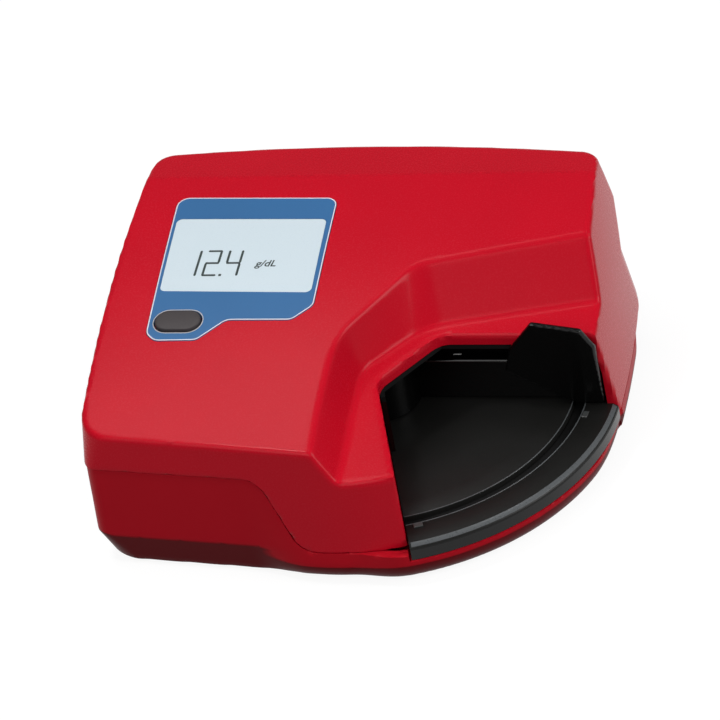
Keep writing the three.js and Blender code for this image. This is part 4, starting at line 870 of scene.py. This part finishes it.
unit = {"text": "g/dL", "size": 3.5, "x": -30.6, "y": 5.0, "shear": 0.2, "bold": 0.05}
letters = bpy.data.curves.new("unit_letters", "FONT")
letters.body, letters.size = unit["text"], unit["size"]
letters.shear, letters.offset = unit["shear"], unit["bold"]
holder = bpy.data.objects.new("unit_letters", letters)
bpy.context.scene.collection.objects.link(holder)
bpy.context.view_layer.update()
flat = bpy.data.meshes.new_from_object(holder.evaluated_get(bpy.context.evaluated_depsgraph_get()))
bpy.data.objects.remove(holder)
bm = bmesh.new()
bm.from_mesh(flat)
made = bmesh.ops.extrude_face_region(bm, geom=bm.faces[:])
lowered = {v for v in made["geom"] if isinstance(v, bmesh.types.BMVert)}
for v in bm.verts:
    x, y = unit["x"] + v.co.x, unit["y"] + v.co.y
    v.co = (x, y, float(topHeight(y)) + figures["rise"] - (figures["depth"] if v in lowered else 0.0))
bmesh.ops.recalc_face_normals(bm, faces=bm.faces[:])
bm.verts.index_update()
newPiece("figure_unit", [tuple(v.co) for v in bm.verts], [[v.index for v in f.verts] for f in bm.faces],
         "lcd_ink")
bm.free()
print("figures made", number)


def loftRings(rings):
    # closed rings of equal count, capped at both ends
    points, faces = [], []
    count = len(rings[0])
    for ring in rings:
        points += ring
    for row in range(len(rings) - 1):
        for i in range(count):
            j = (i + 1) % count
            here, above = row * count, (row + 1) * count
            faces.append((here + i, here + j, above + j, above + i))
    faces.append(tuple(range(count))[::-1])
    faces.append(tuple(range((len(rings) - 1) * count, len(rings) * count)))
    return points, faces


# Button: a soft cap with a rounded rim, a slightly domed face and a flange under the shell
capRows = [(1.0, -4.1), (1.0, -3.1), (0.0, -3.1), (0.0, 0.22), (-0.1, 0.36), (-0.3, 0.45), (-0.7, 0.5),
           (-1.4, 0.55), (-2.4, 0.6), (-3.3, 0.62)]
rings = []
for grow, height in capRows:
    rings.append([fromStack(button["x"] + u, button["y"] + v, height) for u, v in stadium(grow)])
cap = newPiece("button_moulding", *loftRings(rings), "grey_button", "button", smooth=50)
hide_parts("button_cap")


def smallBlock(name, middle, size, turn, slot, body="case", edge=0.12):
    # a little block with chamfered upper edges
    c, s = math.cos(math.radians(turn)), math.sin(math.radians(turn))
    rings = []
    for inward, height in ((0, -size[2] / 2), (0, size[2] / 2 - edge), (edge, size[2] / 2)):
        a, b = size[0] / 2 - inward, size[1] / 2 - inward
        rings.append([(middle[0] + u * c - v * s, middle[1] + u * s + v * c, middle[2] + height)
                      for u, v in ((-a, -b), (a, -b), (a, b), (-a, b))])
    newPiece(name, *loftRings(rings), slot, body, smooth=20)


def lathePiece(name, profile, span, steps, slot):
    # a closed profile of radius and height swept round the arm's axis, from one angle to another
    start, end = span
    rings = []
    for i in range(steps + 1):
        turn = math.radians(start + (end - start) * i / steps)
        rings.append([(r * math.cos(turn), r * math.sin(turn), z) for r, z in profile])
    newPiece(name, *loftRings(rings), slot, smooth=35)


# The tray's turned ring. Its rows say how far from the rim, the groove or a line, and how far down
turned = {"outside": (-1.8, -71.2), "inside": (17.0, -1.8), "groove": (16.5, -71.0), "rim": (-2.2, -70.8),
          "steps": 90, "insideSteps": 24, "insideRadius": 65.9, "skirtTop": 1.5, "skirtGap": 0.05,
          "bedGap": 0.05, "bedDepth": 0.07, "lineAway": 0.3,
          "grooveRows": [(0.35, 0), (0.1, 0.1), (0, 0.35)],
          "edgeRows": [(1.6, 0), (1.3, 0.08), (0.35, 0.75), (0.1, 1.0), (0, 1.5)],
          "lineRows": [(-0.16, 0), (-0.1, -0.05), (0.1, -0.05), (0.16, 0), (0, 0.1)],
          "rimRows": [(1.5, -0.02), (1.3, 0.02), (0.38, 0.68), (0.36, 0.8), (1.3, 0.3)]}
top, seam, rim = tray["floor"], tray["seam"], tray["radius"]
inner, outer = tray["groove"]
bed, base, skirtIn = top - tray["depth"], top - tray["thickness"], rim - tray["skirt"]
outsideRows = [(rim - away, top - down) for away, down in turned["edgeRows"]]
grooveRows = [(seam, top)] + [(inner - away, top - down) for away, down in turned["grooveRows"]]
grooveRows += [(inner, bed), (outer, bed)]
grooveRows += [(outer + away, top - down) for away, down in turned["grooveRows"][::-1]]
skirtTop = top - turned["skirtTop"]
lathePiece("tray_ring", grooveRows + outsideRows + [(skirtIn, skirtTop), (skirtIn, base), (seam, base)],
           turned["outside"], turned["steps"], "black_tray")
skirtTop -= turned["skirtGap"]
lathePiece("tray_skirt", [(rim, skirtTop), (rim, skirtFoot), (skirtIn, skirtFoot), (skirtIn, skirtTop)],
           turned["outside"], turned["steps"], "black_gloss")
inside = turned["insideRadius"]
lathePiece("tray_ring_inside", grooveRows + [(inside, top), (inside, base), (seam, base)],
           turned["inside"], turned["insideSteps"], "black_tray")
# groove_floor: a near-black sheet on the groove's bed, painted shade in the groove
bedIn, bedOut, bedTop = inner + turned["bedGap"], outer - turned["bedGap"], bed + turned["bedDepth"]
lathePiece("groove_floor", [(bedIn, bedTop), (bedOut, bedTop), (bedOut, bed), (bedIn, bed)],
           turned["groove"], turned["steps"], "black_matt")
# two thin lighter-grey lines by the groove's edges: painted highlights
for name, r in (("inner", inner - turned["lineAway"]), ("outer", outer + turned["lineAway"])):
    lathePiece(f"groove_edge_{name}", [(r + away, top - down) for away, down in turned["lineRows"]],
               turned["groove"], turned["steps"], "black_edge")
# the rim's rounded edge in lighter grey: painted highlight
lathePiece("tray_rim", [(rim - away, top - down) for away, down in turned["rimRows"]],
           turned["rim"], turned["steps"], "black_edge")
print("tray ring made")


def beadRow():
    # Geometry Nodes: a row of equal beads along x, each lying along y
    group = bpy.data.node_groups.new("bead row", "GeometryNodeTree")
    sockets = {}
    kinds = {"Count": "NodeSocketInt", "Pitch": "NodeSocketVector", "Bead": "NodeSocketVector"}
    for label, kind in kinds.items():
        sockets[label] = group.interface.new_socket(label, in_out="INPUT", socket_type=kind).identifier
    group.interface.new_socket("Geometry", in_out="OUTPUT", socket_type="NodeSocketGeometry")
    given = group.nodes.new("NodeGroupInput")
    line = addNode(group, "GeometryNodeMeshLine",
                   {"Count": given.outputs["Count"], "Offset": given.outputs["Pitch"]})
    bead = addNode(group, "GeometryNodeMeshCube", {"Size": given.outputs["Bead"]},
                   inputs={"Vertices X": 3, "Vertices Y": 9, "Vertices Z": 3})
    placed = addNode(group, "GeometryNodeInstanceOnPoints",
                     {"Points": line.outputs["Mesh"], "Instance": bead.outputs["Mesh"]})
    real = addNode(group, "GeometryNodeRealizeInstances", {"Geometry": placed.outputs["Instances"]})
    coat = addNode(group, "GeometryNodeSetMaterial", {"Geometry": real.outputs["Geometry"]})
    coat.inputs["Material"].default_value = materials["red_base"]
    out = group.nodes.new("NodeGroupOutput")
    group.links.new(coat.outputs["Geometry"], out.inputs["Geometry"])
    return group, sockets


# Beads in the grooves of the battery door's grip
ribs = {"count": 4, "pitch": -3.0, "bead": (0.6, 13.3, 0.42), "fromRight": 7.4, "y": -35.85, "z": 1.62}
group, sockets = beadRow()
carrier = bpy.data.objects.new("rib carrier", bpy.data.meshes.new("rib carrier"))
bpy.context.scene.collection.objects.link(carrier)
row = carrier.modifiers.new("rib row", "NODES")
row.node_group = group
for label, value in (("Count", ribs["count"]), ("Pitch", (ribs["pitch"], 0.0, 0.0)), ("Bead", ribs["bead"])):
    row[sockets[label]] = value
made = bpy.data.meshes.new_from_object(carrier.evaluated_get(bpy.context.evaluated_depsgraph_get()))
bpy.data.objects.remove(carrier)
firstBead = (bay["x"][1] - ribs["fromRight"], ribs["y"], ribs["z"])
points = [tuple(a + b for a, b in zip(v.co, firstBead)) for v in made.vertices]
newPiece("door_grip_ribs", points, [tuple(f.vertices) for f in made.polygons], "red_base", "door")
print("door ribs made", len(points))

mark = {"at": (24.0, 3.3, 26.52), "size": (2.4, 0.6, 0.08), "edge": 0.02}
smallBlock("arm_slot_mark", mark["at"], mark["size"], 0, "white_plastic", "arm", edge=mark["edge"])
stops = {"turns": (-7, -68), "radius": 61.3, "z": 13.6, "size": (1.6, 2.6, 0.5)}
for i, turn in enumerate(stops["turns"]):
    c, s = math.cos(math.radians(turn)), math.sin(math.radians(turn))
    middle = (stops["radius"] * c, stops["radius"] * s, stops["z"])
    smallBlock(f"arm_stop_{i + 1}", middle, stops["size"], turn, "stop_plastic")
print("marks made")


# Camera and light
view = {"azimuth": 18.72, "elevation": 35.0, "roll": 11.0, "distance": 0.9, "lens": 162.9,
        "lookAt": (4.256, -24.365, 30.0), "raise": 11.05}


def placeCamera():
    a, e, r = (math.radians(view[k]) for k in ("azimuth", "elevation", "roll"))
    level = Vector((math.cos(a), math.sin(a), 0))
    upright = Vector((-math.sin(a) * math.sin(e), math.cos(a) * math.sin(e), math.cos(e)))
    back = Vector((math.sin(a) * math.cos(e), -math.cos(a) * math.cos(e), math.sin(e)))
    right = math.cos(r) * level - math.sin(r) * upright
    up = math.sin(r) * level + math.cos(r) * upright
    centre = Vector(view["lookAt"]) * mm + up * view["raise"] * mm
    data = bpy.data.cameras.new("camera")
    data.lens = view["lens"]
    data.sensor_width = 36.0
    data.clip_start = 0.01
    camera = bpy.data.objects.new("camera", data)
    bpy.context.scene.collection.objects.link(camera)
    turn = Matrix((right, up, back)).transposed().to_4x4()
    camera.matrix_world = Matrix.Translation(centre + back * view["distance"]) @ turn
    bpy.context.scene.camera = camera


placeCamera()

lampTarget = (0, 0, 0.03)
worldStrength = 0.2
lamps = [
    {"name": "overhead softbox", "at": (-0.22, 0.19, 0.76), "size": 0.34, "power": 1.62},
    {"name": "edge softbox", "at": (-0.22, -0.11, 0.80), "size": 0.10, "power": 1.7},
    {"name": "right softbox", "at": (0.80, -0.10, 0.50), "size": 0.5, "power": 5.4},
    {"name": "front fill", "at": (-0.15, -0.72, 0.62), "size": 0.6, "power": 3.4},
    {"name": "strip for the rim", "at": (0.24, 0.16, 0.85), "size": 0.12, "power": 0.4},
]
for lamp in lamps:
    data = bpy.data.lights.new(lamp["name"], "AREA")
    data.shape = "SQUARE"
    data.size = lamp["size"]
    data.energy = lamp["power"]
    light = bpy.data.objects.new(lamp["name"], data)
    bpy.context.scene.collection.objects.link(light)
    light.location = lamp["at"]
    aim = Vector(lampTarget) - Vector(lamp["at"])
    light.rotation_euler = aim.to_track_quat("-Z", "Y").to_euler()

world = bpy.data.worlds.new("studio")
bpy.context.scene.world = world
world.use_nodes = True
world.node_tree.nodes.clear()
sky = addNode(world.node_tree, "ShaderNodeBackground",
              inputs={"Color": (1, 1, 1, 1), "Strength": worldStrength})
addNode(world.node_tree, "ShaderNodeOutputWorld", {"Surface": sky.outputs["Background"]})

paperSweep = {"half": 3, "colour": "#626262", "glow": 0.9, "fibre": 2, "relief": 0.02}
half = paperSweep["half"]
floorMesh = bpy.data.meshes.new("floor")
floorMesh.from_pydata([(-half, -half, 0), (half, -half, 0), (half, half, 0), (-half, half, 0)], [],
                      [(0, 1, 2, 3)])
floor = bpy.data.objects.new("floor", floorMesh)
bpy.context.scene.collection.objects.link(floor)
floorMaterial, tree = newMaterial("white paper sweep")
place = addNode(tree, "ShaderNodeTexCoord")
fibre = addNode(tree, "ShaderNodeTexNoise", {"Vector": place.outputs["Object"]},
                inputs={"Scale": 1 / (paperSweep["fibre"] * mm), "Detail": 3.0})
relief = addNode(tree, "ShaderNodeBump", {"Height": fibre.outputs["Fac"]},
                 inputs={"Strength": 0.05, "Distance": paperSweep["relief"] * mm})
paper = addNode(tree, "ShaderNodeBsdfDiffuse", {"Normal": relief.outputs["Normal"]},
                inputs={"Color": linear(paperSweep["colour"])})
glow = addNode(tree, "ShaderNodeEmission", inputs={"Color": (1, 1, 1, 1), "Strength": paperSweep["glow"]})
dark = addNode(tree, "ShaderNodeBsdfTransparent", inputs={"Color": (0, 0, 0, 1)})
path = addNode(tree, "ShaderNodeLightPath")
# the camera, gloss and glass see the paper's glow; matt surfaces get no light from it
clear = addNode(tree, "ShaderNodeMath",
                {0: path.outputs["Is Camera Ray"], 1: path.outputs["Is Transmission Ray"]},
                operation="MAXIMUM")
seen = addNode(tree, "ShaderNodeMath", {0: clear.outputs[0], 1: path.outputs["Is Glossy Ray"]},
               operation="MAXIMUM")
lift = addNode(tree, "ShaderNodeMixShader", {0: seen.outputs[0], 1: dark.outputs[0], 2: glow.outputs[0]})
both = addNode(tree, "ShaderNodeAddShader", {0: paper.outputs[0], 1: lift.outputs[0]})
addNode(tree, "ShaderNodeOutputMaterial", {"Surface": both.outputs[0]})
floorMesh.materials.append(floorMaterial)

bpy.context.scene.view_settings.view_transform = "Standard"
